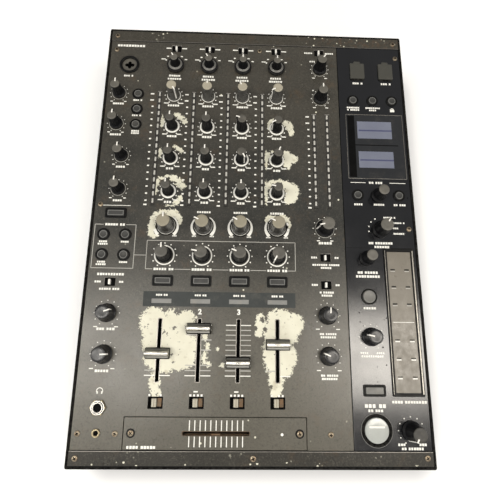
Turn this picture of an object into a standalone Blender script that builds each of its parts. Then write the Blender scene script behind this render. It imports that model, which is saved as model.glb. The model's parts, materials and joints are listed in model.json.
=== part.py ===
"""A four-channel DJ mixer as an assembly of separate parts.

The frame: +Z is up, -Y is the user's side, and the origin is on the table under the centre of the case.
Every dimension below is in millimetres, and the geometry helpers turn it into metres.
A part that moves has its origin on its joint's axis.
"""

import math

import bmesh
import bpy
from mathutils import Matrix

MM = 0.001

# ------------------------------------------------------------------ driving dimensions
WIDTH, DEPTH = 320.0, 440.0
FOOT_HEIGHT, FOOT_RADIUS = 6.0, 12.0
FOOT_INSET_X, FOOT_INSET_Y = 28.0, 32.0
PANEL_TOP = 88.0  # the height of the control surface above the table
WALL = 2.0
SHEET = 2.0  # thickness of the faceplate and of the other two plates
GAP = 0.3  # the clearance between parts that touch on the real mixer
LEDGE = 5.0  # the shelf round the case that the plates rest on

RAIL = 14.4  # the strips of case at the front and back of the plates
PLATE_FRONT = -DEPTH / 2 + RAIL
PLATE_BACK = DEPTH / 2 - RAIL
PLATE_SIDE = WIDTH / 2 - WALL - GAP
FX_LEFT = 88.9  # where the effects panel meets the faceplate

# Columns, left to right
LEFT_X = -136.5
MIC_LEVEL_X, MIC_KEY_X = LEFT_X - 8.1, LEFT_X + 11.8
CHANNEL_PITCH = 36.2
CHANNEL_X = [-87.0 + CHANNEL_PITCH * n for n in range(4)]
METER_OFFSET = 15.0  # a channel's level meter stands this far left of its knobs
MASTER_X = 68.8
MASTER_METER_SPLIT = 14.2
FX_X, FX_STEP = 124.7, 21.0
FX_LEFT_X = 109.3
AMOUNT_X = 140.3

# Rows, back to front
ROW_PITCH = 35.9
INPUT_Y, LEVEL_Y, HIGH_Y, MID_Y, LOW_Y, FILTER_Y = [176.0 - ROW_PITCH * n for n in range(6)]
SELECT_SWITCH_Y = 197.8
KEY_PITCH_Y = 17.9
SWEEP_Y, CUE_Y = -33.0, -57.7
CONTOUR_Y = (-88.6, -125.5)
FADER_Y, CROSSFADER_Y, ASSIGN_Y = -121.1, -191.8, -166.6
TAP_Y, FREQUENCY_Y, QUANTIZE_Y, ON_KEY_Y = -70.2, -107.6, -155.1, -188.6
JACK_Y = -170.9

# Knob styles: radius of the foot, radius of the top, height above the panel
KNOB_STYLES = {
    "selector": (9.0, 3.6, 15.0),
    "level": (6.4, 4.9, 19.0),
    "tone": (5.8, 4.4, 18.5),
    "filter": (8.6, 6.2, 19.0),
    "sweep": (7.6, 6.0, 19.0),
    "microphone": (6.4, 4.6, 16.5),
    "output": (7.2, 4.8, 17.5),
    "wide": (8.6, 6.4, 14.0),
    "encoder": (7.4, 5.2, 17.5),
}
KNOB_SIDES, HOLE_SIDES, LARGE_SIDES = 12, 8, 18
KNOB_CLEARANCE = 0.6  # from the panel up to the knob's foot
SKIRT, SKIRT_SLOPE, SKIRT_DRAFT = 3.0, 1.2, 0.4
WAIST_SHARE = 0.35  # how far out the waist is, from the top's radius to the foot's
SHAFT_RADIUS, SHAFT_HOLE_RADIUS, SHAFT_BORE_RADIUS = 3.0, 4.2, 3.4
SHAFT_DEPTH, BORE_DEPTH = 13.0, 14.0  # below the top of the panel
POINTER_RIDGE = 0.7  # the ridge on a knob that shows which way it points

# Faders
FADER_TRAVEL = 45.0
STEM_LENGTH, STEM_WIDTH, STEM_DEPTH = 8.0, 1.6, 16.0
SLOT_WIDTH, SLOT_LENGTH, CROSS_SLOT_LENGTH = 3.0, 55.8, 58.7
CAP_WIDTH, CAP_LENGTH, CAP_TOP_LENGTH, CAP_BOTTOM, CAP_HEIGHT = 22.0, 10.0, 6.0, 2.0, 12.5
CROSS_STEM_RISE = 3.0  # the crossfader has lost its cap, so only its stem stands proud
FADER_REST = [-3.1, 19.1, -10.7, 5.3]  # where each fader stands, from the middle of its travel

# Keys
KEY_RISE, KEY_GAP = 1.4, 0.8
SWEEP_KEY_X, SWEEP_KEY_Y = (LEFT_X - 10.0, LEFT_X + 10.8), (-13.4, -33.4)
SMALL_KEY_RADIUS, TAP_KEY_RADIUS, ON_KEY_RADIUS = 4.3, 6.2, 11.0
CUE_KEY, BAR_KEY = (15.4, 6.4), (16.4, 6.2)
WEB_STEP = 0.1  # strips of web that cross differ by this much at top and bottom
WEB_TOP, WEB_BOTTOM, WEB_WIDTH = -2.6, -4.1, 3.0  # the rubber web that carries a group of keys
FX_LANE_X = FX_LEFT_X - 9.6  # where the effects keys' web passes beside the knobs' shafts

# Windows and openings
METER_WINDOW = (4.2, 125.4)
METER_TOP_Y, MASTER_METER_TOP_Y, METER_BOTTOM_Y = 142.6, 123.6, 17.2
SMALL_SWITCH, ASSIGN_SWITCH = (10.0, 7.6), (12.0, 9.0)
CROSS_PLATE = (-113.6, 47.4, -178.0)  # left, right and back edges
COMBO_RADIUS, PHONE_RADIUS, MINI_RADIUS = 10.2, 5.6, 3.4
DISPLAY = (95.6, 155.2, 50.8, 123.2)  # left, right, front and back
DISPLAY_POCKET = 1.0
STRIP = (125.7, 155.2, -160.2, -23.0)
STRIP_FRAME, STRIP_RISE = 3.0, 1.4
USB_X, USB_Y, USB_SIZE = (110.0, 140.9), 175.4, (13.0, 13.0)

# Inside
BOARD_TOP, BOARD_THICKNESS = 64.0, 1.6
BOARD_LIMITS = (-150.0, 150.0, -201.0, 195.0)
HOUSING_SIDE, HOUSING_TOP = 12.0, -8.0
FADER_BODY = (10.0, 75.0)
POST_RADIUS = 4.0
POSTS = [(x, y) for x in (-144.0, 144.0) for y in (-190.0, 0.0, 188.0)]
SUPPLY = (20.0, 132.0, 100.0, 176.0, 34.0)  # left, right, front, back and height
VENT_COUNT, VENT_PITCH, VENT_WIDTH, VENT_INSET, VENT_DEPTH = 7, 14.0, 4.0, 12.0, 3.0
KEY_SWITCH, JACK_BODY = (6.0, 6.0), (14.0, 12.0)  # what stands under a key and under a socket


# ------------------------------------------------------------------ materials
def material(name, colour, roughness, metallic=0.0):
    made = bpy.data.materials.new(name)
    made.use_nodes = True
    shader = made.node_tree.nodes["Principled BSDF"]
    shader.inputs["Base Color"].default_value = (*colour, 1.0)
    shader.inputs["Roughness"].default_value = roughness
    shader.inputs["Metallic"].default_value = metallic
    return made


def make_materials():
    return {
        "case_paint": material("case_paint", (0.030, 0.029, 0.027), 0.5),
        "face_paint": material("face_paint", (0.075, 0.070, 0.062), 0.45),
        "gloss_panel": material("gloss_panel", (0.022, 0.023, 0.026), 0.22),
        "black_knob": material("black_knob", (0.020, 0.020, 0.021), 0.55),
        "beige_knob": material("beige_knob", (0.33, 0.31, 0.25), 0.6),
        "fader_metal": material("fader_metal", (0.42, 0.41, 0.38), 0.32, 0.9),
        "stem_steel": material("stem_steel", (0.45, 0.42, 0.38), 0.4, 1.0),
        "key_rubber": material("key_rubber", (0.10, 0.10, 0.10), 0.5),
        "clear_lens": material("clear_lens", (0.62, 0.66, 0.64), 0.3),
        "circuit_board": material("circuit_board", (0.02, 0.12, 0.05), 0.5),
        "supply_steel": material("supply_steel", (0.55, 0.56, 0.57), 0.35, 1.0),
    }


# ------------------------------------------------------------------ geometry helpers
def add_box(bm, x0, x1, y0, y1, z0, z1):
    """An upright box between the given limits."""
    centre = ((x0 + x1) / 2 * MM, (y0 + y1) / 2 * MM, (z0 + z1) / 2 * MM)
    size = ((x1 - x0) * MM, (y1 - y0) * MM, (z1 - z0) * MM)
    matrix = Matrix.Translation(centre) @ Matrix.Diagonal((*size, 1.0))
    bmesh.ops.create_cube(bm, size=1.0, matrix=matrix)


def add_block(bm, x, y, size, z0, z1):
    """A box centred on a point of the plan."""
    add_box(bm, x - size[0] / 2, x + size[0] / 2, y - size[1] / 2, y + size[1] / 2, z0, z1)


def add_drum(bm, x, y, radius, z0, z1, sides=KNOB_SIDES):
    """An upright prism with many sides, for a round part or hole."""
    matrix = Matrix.Translation((x * MM, y * MM, (z0 + z1) / 2 * MM))
    bmesh.ops.create_cone(
        bm,
        cap_ends=True,
        segments=sides,
        radius1=radius * MM,
        radius2=radius * MM,
        depth=(z1 - z0) * MM,
        matrix=matrix,
    )


def add_turned(bm, profile, sides, ridge_from):
    """A turned shape from (radius, height) points, bottom to top.

    The rings from ridge_from upwards carry the pointer's ridge.
    """
    rings = []
    for index, (radius, height) in enumerate(profile):
        ring = []
        for side in range(sides):
            angle = math.pi / 2 + 2 * math.pi * side / sides
            ridge = POINTER_RIDGE if side == 0 and index >= ridge_from else 0.0
            reach = (radius + ridge) * MM
            ring.append(bm.verts.new((reach * math.cos(angle), reach * math.sin(angle), height * MM)))
        rings.append(ring)
    for lower, upper in zip(rings, rings[1:]):
        for side in range(sides):
            after = (side + 1) % sides
            bm.faces.new((lower[side], lower[after], upper[after], upper[side]))
    bm.faces.new(rings[0][::-1])
    bm.faces.new(rings[-1])


def mesh_from(name, bm):
    mesh = bpy.data.meshes.new(name)
    bm.to_mesh(mesh)
    bm.free()
    return mesh


def place(name, mesh, paint, at=(0.0, 0.0, 0.0), turn=0.0):
    """Puts a mesh in the scene as a named part, with its origin at a point in millimetres."""
    part = bpy.data.objects.new(name, mesh)
    part.location = [value * MM for value in at]
    part.rotation_euler.z = math.radians(turn)
    bpy.context.scene.collection.objects.link(part)
    if not mesh.materials:
        mesh.materials.append(paint)
    return part


def boolean(part, bm, operation, overlapping=False):
    """Joins shapes to a part, or cuts them out of it. The shapes are in the part's own space."""
    helper = bpy.data.objects.new(f"{part.name}_{operation.lower()}", mesh_from("helper", bm))
    helper.location = part.location
    helper.hide_render = True
    helper.display_type = "WIRE"
    bpy.context.scene.collection.objects.link(helper)
    modifier = part.modifiers.new(operation.lower(), "BOOLEAN")
    modifier.operation = operation
    modifier.object = helper
    modifier.use_self = overlapping


def round_shading(mesh):
    mesh.shade_smooth()
    mesh.set_sharp_from_angle(angle=math.radians(35))


# ------------------------------------------------------------------ where the controls are
def knob_layout():
    """(node name, style, x, y, the way it points at rest in degrees, anticlockwise from straight back)"""
    rows = (
        ("input_select", "selector", INPUT_Y, (30, 30, 0, 0)),
        ("level", "level", LEVEL_Y, (-150, 0, 28, 115)),
        ("high", "tone", HIGH_Y, (0, 0, 65, 120)),
        ("mid", "tone", MID_Y, (0, 0, -150, -20)),
        ("low", "tone", LOW_Y, (0, 0, 0, 78)),
        ("filter", "filter", FILTER_Y, (0, 65, 60, 65)),
        ("sweep", "sweep", SWEEP_Y, (0, 80, 70, 150)),
    )
    knobs = [
        (f"ch{n + 1}_{name}_knob", style, CHANNEL_X[n], y, turns[n])
        for name, style, y, turns in rows
        for n in range(4)
    ]
    knobs += [
        ("mic_1_level_knob", "microphone", MIC_LEVEL_X, LEVEL_Y + 1.0, 0),
        ("mic_2_level_knob", "microphone", MIC_LEVEL_X, HIGH_Y + 1.2, 0),
        ("mic_high_knob", "microphone", LEFT_X, MID_Y + 1.4, 0),
        ("mic_low_knob", "microphone", LEFT_X, LOW_Y + 1.4, 0),
        ("headphone_mix_knob", "wide", LEFT_X, CONTOUR_Y[0], -70),
        ("headphone_level_knob", "wide", LEFT_X, CONTOUR_Y[1], -88),
        ("master_level_knob", "output", MASTER_X, INPUT_Y + 1.0, -35),
        ("balance_knob", "output", MASTER_X, LEVEL_Y + 1.0, 0),
        ("booth_level_knob", "filter", MASTER_X, FILTER_Y, 100),
        ("fader_contour_knob", "wide", MASTER_X, CONTOUR_Y[0], -3),
        ("crossfader_contour_knob", "wide", MASTER_X, CONTOUR_Y[1], 68),
        ("effect_select_knob", "encoder", FX_X, LOW_Y, 0),
        ("effect_assign_knob", "sweep", FX_X, FILTER_Y, -30),
        ("effect_time_knob", "encoder", FX_LEFT_X, SWEEP_Y, 0),
        ("effect_frequency_knob", "wide", FX_LEFT_X, FREQUENCY_Y, 78),
        ("effect_amount_knob", "filter", AMOUNT_X, ON_KEY_Y, 150),
    ]
    return knobs


def small_switches():
    """Plan positions of the small slide switches."""
    top_row = [(x, SELECT_SWITCH_Y) for x in (*CHANNEL_X, MASTER_X)]
    return top_row + [(LEFT_X, CUE_Y - 1.9), (MASTER_X, SWEEP_Y), (MASTER_X, CUE_Y - 2.0)]


def round_keys(group):
    """(x, y, radius) of the round keys in one group."""
    if group == "mic":
        return [(MIC_KEY_X, LEVEL_Y + 0.6 - KEY_PITCH_Y * n, SMALL_KEY_RADIUS) for n in range(3)]
    if group == "sweep":
        return [(x, y, SMALL_KEY_RADIUS) for x in SWEEP_KEY_X for y in SWEEP_KEY_Y]
    upper = [(FX_X + FX_STEP * n, LEVEL_Y, SMALL_KEY_RADIUS) for n in (-1, 0, 1)]
    lower = [(FX_X + FX_STEP * n, LOW_Y, SMALL_KEY_RADIUS) for n in (-1, 1)]
    return [*upper, *lower, (FX_LEFT_X, TAP_Y, TAP_KEY_RADIUS)]


FILTER_KEY = (LEFT_X, 8.4, BAR_KEY)
QUANTIZE_KEY = (FX_LEFT_X, QUANTIZE_Y, BAR_KEY)
CUE_KEYS = [(x, CUE_Y, CUE_KEY) for x in CHANNEL_X]


def meters():
    """(x, front, back) of the level meters' windows."""
    channel = [(x - METER_OFFSET, METER_BOTTOM_Y, METER_TOP_Y) for x in CHANNEL_X]
    sides = (-MASTER_METER_SPLIT / 2, MASTER_METER_SPLIT / 2)
    return channel + [(MASTER_X + side, METER_BOTTOM_Y, MASTER_METER_TOP_Y) for side in sides]


# ------------------------------------------------------------------ the case
def make_chassis(paint):
    """The painted steel case: a tray with rails front and back, a ledge for the plates, posts and feet."""
    bm = bmesh.new()
    half_w, half_d = WIDTH / 2, DEPTH / 2
    add_box(bm, -half_w, half_w, -half_d, half_d, FOOT_HEIGHT, PANEL_TOP)
    chassis = place("chassis", mesh_from("chassis", bm), paint)

    seat = PANEL_TOP - SHEET - GAP
    inside = bmesh.new()
    inner_w, inner_d = half_w - WALL, half_d - WALL
    floor, shelf = FOOT_HEIGHT + WALL, seat - WALL
    add_box(inside, -inner_w, inner_w, -inner_d, inner_d, floor, shelf)
    boolean(chassis, inside, "DIFFERENCE")
    opening = bmesh.new()
    opening_w = inner_w - LEDGE
    front, back = PLATE_FRONT + LEDGE, PLATE_BACK - LEDGE
    add_box(opening, -opening_w, opening_w, front, back, shelf - WALL, PANEL_TOP + WALL)
    boolean(chassis, opening, "DIFFERENCE")
    plates = bmesh.new()
    add_box(plates, -inner_w, inner_w, PLATE_FRONT, PLATE_BACK, seat, PANEL_TOP + WALL)
    boolean(chassis, plates, "DIFFERENCE")

    extras = bmesh.new()
    post_top = BOARD_TOP - BOARD_THICKNESS - GAP
    for x, y in POSTS:
        add_drum(extras, x, y, POST_RADIUS, floor - WALL / 2, post_top, HOLE_SIDES)
    for x in (-half_w + FOOT_INSET_X, half_w - FOOT_INSET_X):
        for y in (-half_d + FOOT_INSET_Y, half_d - FOOT_INSET_Y):
            add_drum(extras, x, y, FOOT_RADIUS, 0.0, FOOT_HEIGHT + WALL / 2, LARGE_SIDES)
    boolean(chassis, extras, "UNION")


def cut_key_openings(bm, rounds, bars):
    for x, y, radius in rounds:
        add_drum(bm, x, y, radius + KEY_GAP, PANEL_TOP - 2 * SHEET, PANEL_TOP + SHEET)
    for x, y, size in bars:
        opening = (size[0] + 2 * KEY_GAP, size[1] + 2 * KEY_GAP)
        add_block(bm, x, y, opening, PANEL_TOP - 2 * SHEET, PANEL_TOP + SHEET)


def cut_shaft_holes(bm, left, right):
    for _, _, x, y, _ in knob_layout():
        if left < x < right:
            add_drum(bm, x, y, SHAFT_HOLE_RADIUS, PANEL_TOP - 2 * SHEET, PANEL_TOP + SHEET, HOLE_SIDES)


def make_faceplate(paint):
    """The main plate, with an opening for every control and a notch for the crossfader's plate."""
    below, above = PANEL_TOP - 2 * SHEET, PANEL_TOP + SHEET
    bm = bmesh.new()
    right = FX_LEFT - 2 * GAP
    add_box(bm, -PLATE_SIDE, right, PLATE_FRONT + GAP, PLATE_BACK - GAP, PANEL_TOP - SHEET, PANEL_TOP)
    plate = place("faceplate", mesh_from("faceplate", bm), paint)

    holes = bmesh.new()
    left_edge, right_edge, back_edge = CROSS_PLATE
    add_box(holes, left_edge, right_edge, PLATE_FRONT - SHEET, back_edge, below, above)
    cut_shaft_holes(holes, -PLATE_SIDE, right)
    cut_key_openings(holes, round_keys("mic") + round_keys("sweep"), [FILTER_KEY, *CUE_KEYS])
    for x in CHANNEL_X:
        add_block(holes, x, FADER_Y, (SLOT_WIDTH, SLOT_LENGTH), below, above)
        add_block(holes, x, ASSIGN_Y, ASSIGN_SWITCH, below, above)
    for x, y in small_switches():
        add_block(holes, x, y, SMALL_SWITCH, below, above)
    for x, front, back in meters():
        add_box(holes, x - METER_WINDOW[0] / 2, x + METER_WINDOW[0] / 2, front, back, below, above)
    add_drum(holes, LEFT_X, INPUT_Y, COMBO_RADIUS, below, above, LARGE_SIDES)
    add_drum(holes, LEFT_X, JACK_Y, PHONE_RADIUS, below, above)
    add_drum(holes, LEFT_X, CROSSFADER_Y, MINI_RADIUS, below, above)
    boolean(plate, holes, "DIFFERENCE")


def make_crossfader_plate(paint):
    """The screwed-down plate that lets the crossfader be changed."""
    left, right, back = CROSS_PLATE
    middle = sum(CHANNEL_X) / 4
    bm = bmesh.new()
    inset = 2 * GAP
    add_box(bm, left + inset, right - inset, PLATE_FRONT + inset, back - inset, PANEL_TOP - SHEET, PANEL_TOP)
    plate = place("crossfader_plate", mesh_from("crossfader_plate", bm), paint)
    slot = bmesh.new()
    size = (CROSS_SLOT_LENGTH, SLOT_WIDTH)
    add_block(slot, middle, CROSSFADER_Y, size, PANEL_TOP - 2 * SHEET, PANEL_TOP + SHEET)
    boolean(plate, slot, "DIFFERENCE")


def make_fx_panel(paint):
    """The glossy effects panel, with a pocket for the display and a raised frame round the touch strip."""
    bm = bmesh.new()
    add_box(bm, FX_LEFT, PLATE_SIDE, PLATE_FRONT + GAP, PLATE_BACK - GAP, PANEL_TOP - SHEET, PANEL_TOP)
    panel = place("fx_panel", mesh_from("fx_panel", bm), paint)
    frame = bmesh.new()
    left, right, front, back = STRIP
    add_box(frame, left, right, front, back, PANEL_TOP - SHEET / 2, PANEL_TOP + STRIP_RISE)
    boolean(panel, frame, "UNION")
    holes = bmesh.new()
    add_box(
        holes,
        left + STRIP_FRAME,
        right - STRIP_FRAME,
        front + STRIP_FRAME,
        back - STRIP_FRAME,
        PANEL_TOP,
        PANEL_TOP + 2 * STRIP_RISE,
    )
    add_box(holes, *DISPLAY, PANEL_TOP - DISPLAY_POCKET, PANEL_TOP + SHEET)
    cut_shaft_holes(holes, FX_LEFT, PLATE_SIDE)
    on_key = (FX_LEFT_X, ON_KEY_Y, ON_KEY_RADIUS)
    cut_key_openings(holes, [*round_keys("fx"), on_key], [QUANTIZE_KEY])
    for x in USB_X:
        add_block(holes, x, USB_Y, USB_SIZE, PANEL_TOP - 2 * SHEET, PANEL_TOP + SHEET)
    boolean(panel, holes, "DIFFERENCE")


# ------------------------------------------------------------------ inside the case
def make_control_board(paint):
    """The circuit board with what is soldered to it: knob and fader bodies, switches and jack bodies."""
    left, right, front, back = BOARD_LIMITS
    bm = bmesh.new()
    add_box(bm, left, right, front, back, BOARD_TOP - BOARD_THICKNESS, BOARD_TOP)
    board = place("control_board", mesh_from("control_board", bm), paint)

    root, housing_top = BOARD_TOP - BOARD_THICKNESS / 2, PANEL_TOP + HOUSING_TOP
    parts, bores = bmesh.new(), bmesh.new()
    for _, _, x, y, _ in knob_layout():
        add_block(parts, x, y, (HOUSING_SIDE, HOUSING_SIDE), root, housing_top)
        add_drum(bores, x, y, SHAFT_BORE_RADIUS, PANEL_TOP - BORE_DEPTH, housing_top + SHEET, HOLE_SIDES)
    groove_floor = PANEL_TOP - STEM_DEPTH - SHEET
    for x in CHANNEL_X:
        add_block(parts, x, FADER_Y, FADER_BODY, root, housing_top)
        add_block(bores, x, FADER_Y, (SLOT_WIDTH, SLOT_LENGTH), groove_floor, housing_top + SHEET)
        add_block(parts, x, ASSIGN_Y, ASSIGN_SWITCH, root, housing_top)
    middle = sum(CHANNEL_X) / 4
    add_block(parts, middle, CROSSFADER_Y, FADER_BODY[::-1], root, housing_top)
    cross_slot = (CROSS_SLOT_LENGTH, SLOT_WIDTH)
    add_block(bores, middle, CROSSFADER_Y, cross_slot, groove_floor, housing_top + SHEET)
    for x, y in small_switches():
        add_block(parts, x, y, SMALL_SWITCH, root, housing_top)
    key_places = [key[:2] for group in ("mic", "sweep", "fx") for key in round_keys(group)]
    key_places += [key[:2] for key in (FILTER_KEY, QUANTIZE_KEY, *CUE_KEYS)]
    for x, y in [*key_places, (FX_LEFT_X, ON_KEY_Y)]:
        add_block(parts, x, y, KEY_SWITCH, root, PANEL_TOP + WEB_BOTTOM - KEY_RISE)
    add_drum(parts, LEFT_X, INPUT_Y, COMBO_RADIUS - 2 * GAP, root, housing_top)
    for y in (JACK_Y, CROSSFADER_Y):
        add_block(parts, LEFT_X, y, JACK_BODY, root, housing_top)
    boolean(board, parts, "UNION")
    boolean(board, bores, "DIFFERENCE")


def make_power_supply(paint):
    """The mains power supply, in a folded steel can with a row of vents in its top."""
    left, right, front, back, height = SUPPLY
    floor = FOOT_HEIGHT + WALL + GAP
    bm = bmesh.new()
    add_box(bm, left, right, front, back, floor, floor + height)
    supply = place("power_supply", mesh_from("power_supply", bm), paint)
    vents = bmesh.new()
    top = floor + height
    for step in range(VENT_COUNT):
        x = left + VENT_PITCH * (step + 1)
        sides = (x - VENT_WIDTH / 2, x + VENT_WIDTH / 2, front + VENT_INSET, back - VENT_INSET)
        add_box(vents, *sides, top - VENT_DEPTH, top + VENT_DEPTH)
    boolean(supply, vents, "DIFFERENCE")


# ------------------------------------------------------------------ what moves
def knob_mesh(style):
    """A knob and its shaft, pointing straight back, with its origin on its axis at the panel's top."""
    foot, top, height = KNOB_STYLES[style]
    waist = top + WAIST_SHARE * (foot - top)
    profile = (
        (SHAFT_RADIUS, -SHAFT_DEPTH),
        (SHAFT_RADIUS, KNOB_CLEARANCE),
        (foot, KNOB_CLEARANCE),
        (foot - SKIRT_DRAFT, SKIRT),
        (waist, SKIRT + SKIRT_SLOPE),
        (top, height),
    )
    bm = bmesh.new()
    add_turned(bm, profile, KNOB_SIDES, ridge_from=3)
    mesh = mesh_from(f"{style}_knob", bm)
    round_shading(mesh)
    return mesh


def make_knobs(paints):
    meshes = {style: knob_mesh(style) for style in KNOB_STYLES}
    for name, style, x, y, turn in knob_layout():
        paint = paints["beige_knob"] if style in ("level", "filter") else paints["black_knob"]
        place(name, meshes[style], paint, (x, y, PANEL_TOP), turn)


def fader_stem(along_x, top):
    """The blade that comes up through the slot, with its slider in the fader's body."""
    size = (STEM_LENGTH, STEM_WIDTH) if along_x else (STEM_WIDTH, STEM_LENGTH)
    bm = bmesh.new()
    add_block(bm, 0.0, 0.0, size, -STEM_DEPTH, top)
    return bm


def make_channel_faders(paint):
    """Each fader is a blade with a bar-shaped cap that is wider at its foot than at its finger edge."""
    for n, x in enumerate(CHANNEL_X):
        mesh = mesh_from(f"ch{n + 1}_fader", fader_stem(False, CAP_BOTTOM + SHEET))
        fader = place(f"ch{n + 1}_fader", mesh, paint, (x, FADER_Y + FADER_REST[n], PANEL_TOP))
        cap = bmesh.new()
        add_block(cap, 0.0, 0.0, (CAP_WIDTH, CAP_LENGTH), CAP_BOTTOM, CAP_HEIGHT)
        for vert in cap.verts:
            if vert.co.z > CAP_HEIGHT / 2 * MM:
                vert.co.y *= CAP_TOP_LENGTH / CAP_LENGTH
        boolean(fader, cap, "UNION")


def make_crossfader(paint):
    """The crossfader's stem, in the middle of its travel."""
    mesh = mesh_from("crossfader", fader_stem(True, CROSS_STEM_RISE))
    place("crossfader", mesh, paint, (sum(CHANNEL_X) / 4, CROSSFADER_Y, PANEL_TOP))


def make_keypad(name, paint, bars, rounds=(), squares=()):
    """Keys on one rubber web. bars are the web's strips, as (x0, x1, y0, y1) between their centre lines."""
    origin = [*(rounds[0] if rounds else squares[0])[:2], PANEL_TOP]
    half = WEB_WIDTH / 2
    bm = bmesh.new()
    for x0, x1, y0, y1 in bars[:1]:
        add_box(bm, x0 - half, x1 + half, y0 - half, y1 + half, PANEL_TOP + WEB_BOTTOM, PANEL_TOP + WEB_TOP)
    rest = bmesh.new()
    for step, (x0, x1, y0, y1) in enumerate(bars[1:]):
        lift = WEB_STEP * (step % 2 + 1)
        bottom, top = PANEL_TOP + WEB_BOTTOM + lift, PANEL_TOP + WEB_TOP - lift
        add_box(rest, x0 - half, x1 + half, y0 - half, y1 + half, bottom, top)
    key_bottom = PANEL_TOP + (WEB_BOTTOM + WEB_TOP) / 2
    for x, y, radius in rounds:
        add_drum(rest, x, y, radius, key_bottom, PANEL_TOP + KEY_RISE)
    for x, y, size in squares:
        add_block(rest, x, y, size, key_bottom, PANEL_TOP + KEY_RISE)
    shift = Matrix.Translation([-value * MM for value in origin])
    for part in (bm, rest):
        part.transform(shift)
    keypad = place(name, mesh_from(name, bm), paint, origin)
    boolean(keypad, rest, "UNION", overlapping=True)


def make_keys(paints):
    rubber = paints["key_rubber"]
    mic = round_keys("mic")
    make_keypad("mic_keys", rubber, [(MIC_KEY_X, MIC_KEY_X, mic[2][1], mic[0][1])], mic)

    sweep = round_keys("sweep")
    left, right, back, front = sweep[0][0], sweep[2][0], sweep[0][1], sweep[1][1]
    ring = [(left, left, front, back), (right, right, front, back), (left, right, back, back)]
    spine = (LEFT_X, LEFT_X, back, FILTER_KEY[1])
    make_keypad("sweep_keys", rubber, [*ring, spine], sweep, [FILTER_KEY])

    row = [(CHANNEL_X[0], CHANNEL_X[-1], CUE_Y, CUE_Y)]
    make_keypad("cue_keys", rubber, row, squares=CUE_KEYS)

    fx = round_keys("fx")
    left, right, lane = fx[0][0], fx[2][0], FX_LANE_X
    bars = [
        (left, right, LEVEL_Y, LEVEL_Y),
        (right, right, LOW_Y, LEVEL_Y),
        (lane, lane, QUANTIZE_Y, LEVEL_Y),
        (lane, left, LOW_Y, LOW_Y),
        (lane, left, LEVEL_Y, LEVEL_Y),
        (lane, FX_LEFT_X, TAP_Y, TAP_Y),
        (lane, FX_LEFT_X, QUANTIZE_Y, QUANTIZE_Y),
    ]
    make_keypad("fx_keys", rubber, bars, fx, [QUANTIZE_KEY])

    bm = bmesh.new()
    add_drum(bm, 0.0, 0.0, ON_KEY_RADIUS, WEB_BOTTOM, KEY_RISE, LARGE_SIDES)
    spot = (FX_LEFT_X, ON_KEY_Y, PANEL_TOP)
    place("fx_on_button", mesh_from("fx_on_button", bm), paints["clear_lens"], spot)


def main():
    for old in list(bpy.data.objects):
        bpy.data.objects.remove(old)
    paints = make_materials()
    make_chassis(paints["case_paint"])
    make_faceplate(paints["face_paint"])
    make_crossfader_plate(paints["face_paint"])
    make_fx_panel(paints["gloss_panel"])
    make_control_board(paints["circuit_board"])
    make_power_supply(paints["supply_steel"])
    make_knobs(paints)
    make_channel_faders(paints["fader_metal"])
    make_crossfader(paints["stem_steel"])
    make_keys(paints)


main()
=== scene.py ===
import json
import math
import random

import bmesh
import bpy
from mathutils import Matrix, Vector


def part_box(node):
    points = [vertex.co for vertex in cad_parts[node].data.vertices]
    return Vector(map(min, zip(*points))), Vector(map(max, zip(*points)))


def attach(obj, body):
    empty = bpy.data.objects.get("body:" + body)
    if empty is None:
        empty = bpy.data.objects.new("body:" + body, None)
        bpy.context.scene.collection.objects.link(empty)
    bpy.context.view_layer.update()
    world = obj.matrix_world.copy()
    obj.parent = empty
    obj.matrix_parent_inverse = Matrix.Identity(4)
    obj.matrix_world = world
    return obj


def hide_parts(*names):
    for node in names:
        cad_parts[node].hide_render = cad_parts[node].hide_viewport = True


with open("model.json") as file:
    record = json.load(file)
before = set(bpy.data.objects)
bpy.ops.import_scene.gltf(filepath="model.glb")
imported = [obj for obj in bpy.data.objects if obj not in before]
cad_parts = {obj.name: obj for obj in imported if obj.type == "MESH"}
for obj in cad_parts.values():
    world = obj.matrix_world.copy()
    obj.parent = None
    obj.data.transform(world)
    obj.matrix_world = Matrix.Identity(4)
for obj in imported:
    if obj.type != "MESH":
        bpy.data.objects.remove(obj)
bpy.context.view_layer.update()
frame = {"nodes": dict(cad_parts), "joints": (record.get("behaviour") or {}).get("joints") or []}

# The looks of a four-channel DJ mixer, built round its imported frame. Sizes are in millimetres.
MM = 0.001
TAU = 2 * math.pi
DICE = random.Random(11)
JOINTS = {joint["child"]: joint for joint in frame["joints"]}


def corners(node):
    return [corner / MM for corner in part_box(node)]


def axis_of(node):
    """Where a turning part's axis meets the panel, as x and y."""
    return [value / MM for value in JOINTS[node]["pos_m"][:2]]


def turn_of(node):
    """The way a knob points at rest, in degrees anticlockwise from straight back."""
    low, high = JOINTS[node].get("range_deg", (0.0, 0.0))
    return -(low + high) / 2


def middle(node):
    low, high = corners(node)
    return ((low + high) / 2)[:2]


# ------------------------------------------------------------------ where things are
CASE_LOW, CASE_HIGH = corners("chassis")
PLATE_LOW, PLATE_HIGH = corners("faceplate")
FX_LOW, FX_HIGH = corners("fx_panel")
CROSS_LOW, CROSS_HIGH = corners("crossfader_plate")
TOP = PLATE_HIGH.z
SHEET = PLATE_HIGH.z - PLATE_LOW.z
CHANNELS = [axis_of(f"ch{n}_level_knob")[0] for n in (1, 2, 3, 4)]
ROWS = ("input_select", "level", "high", "mid", "low", "filter", "sweep")
INPUT_Y, LEVEL_Y, HIGH_Y, MID_Y, LOW_Y, FILTER_Y, SWEEP_Y = [axis_of(f"ch1_{row}_knob")[1] for row in ROWS]
LEFT_X = axis_of("mic_high_knob")[0]
MASTER_X = axis_of("master_level_knob")[0]
FX_X = axis_of("effect_select_knob")[0]
FX_LEFT_X = axis_of("effect_time_knob")[0]
CUE_Y = middle("cue_keys")[1]
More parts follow.
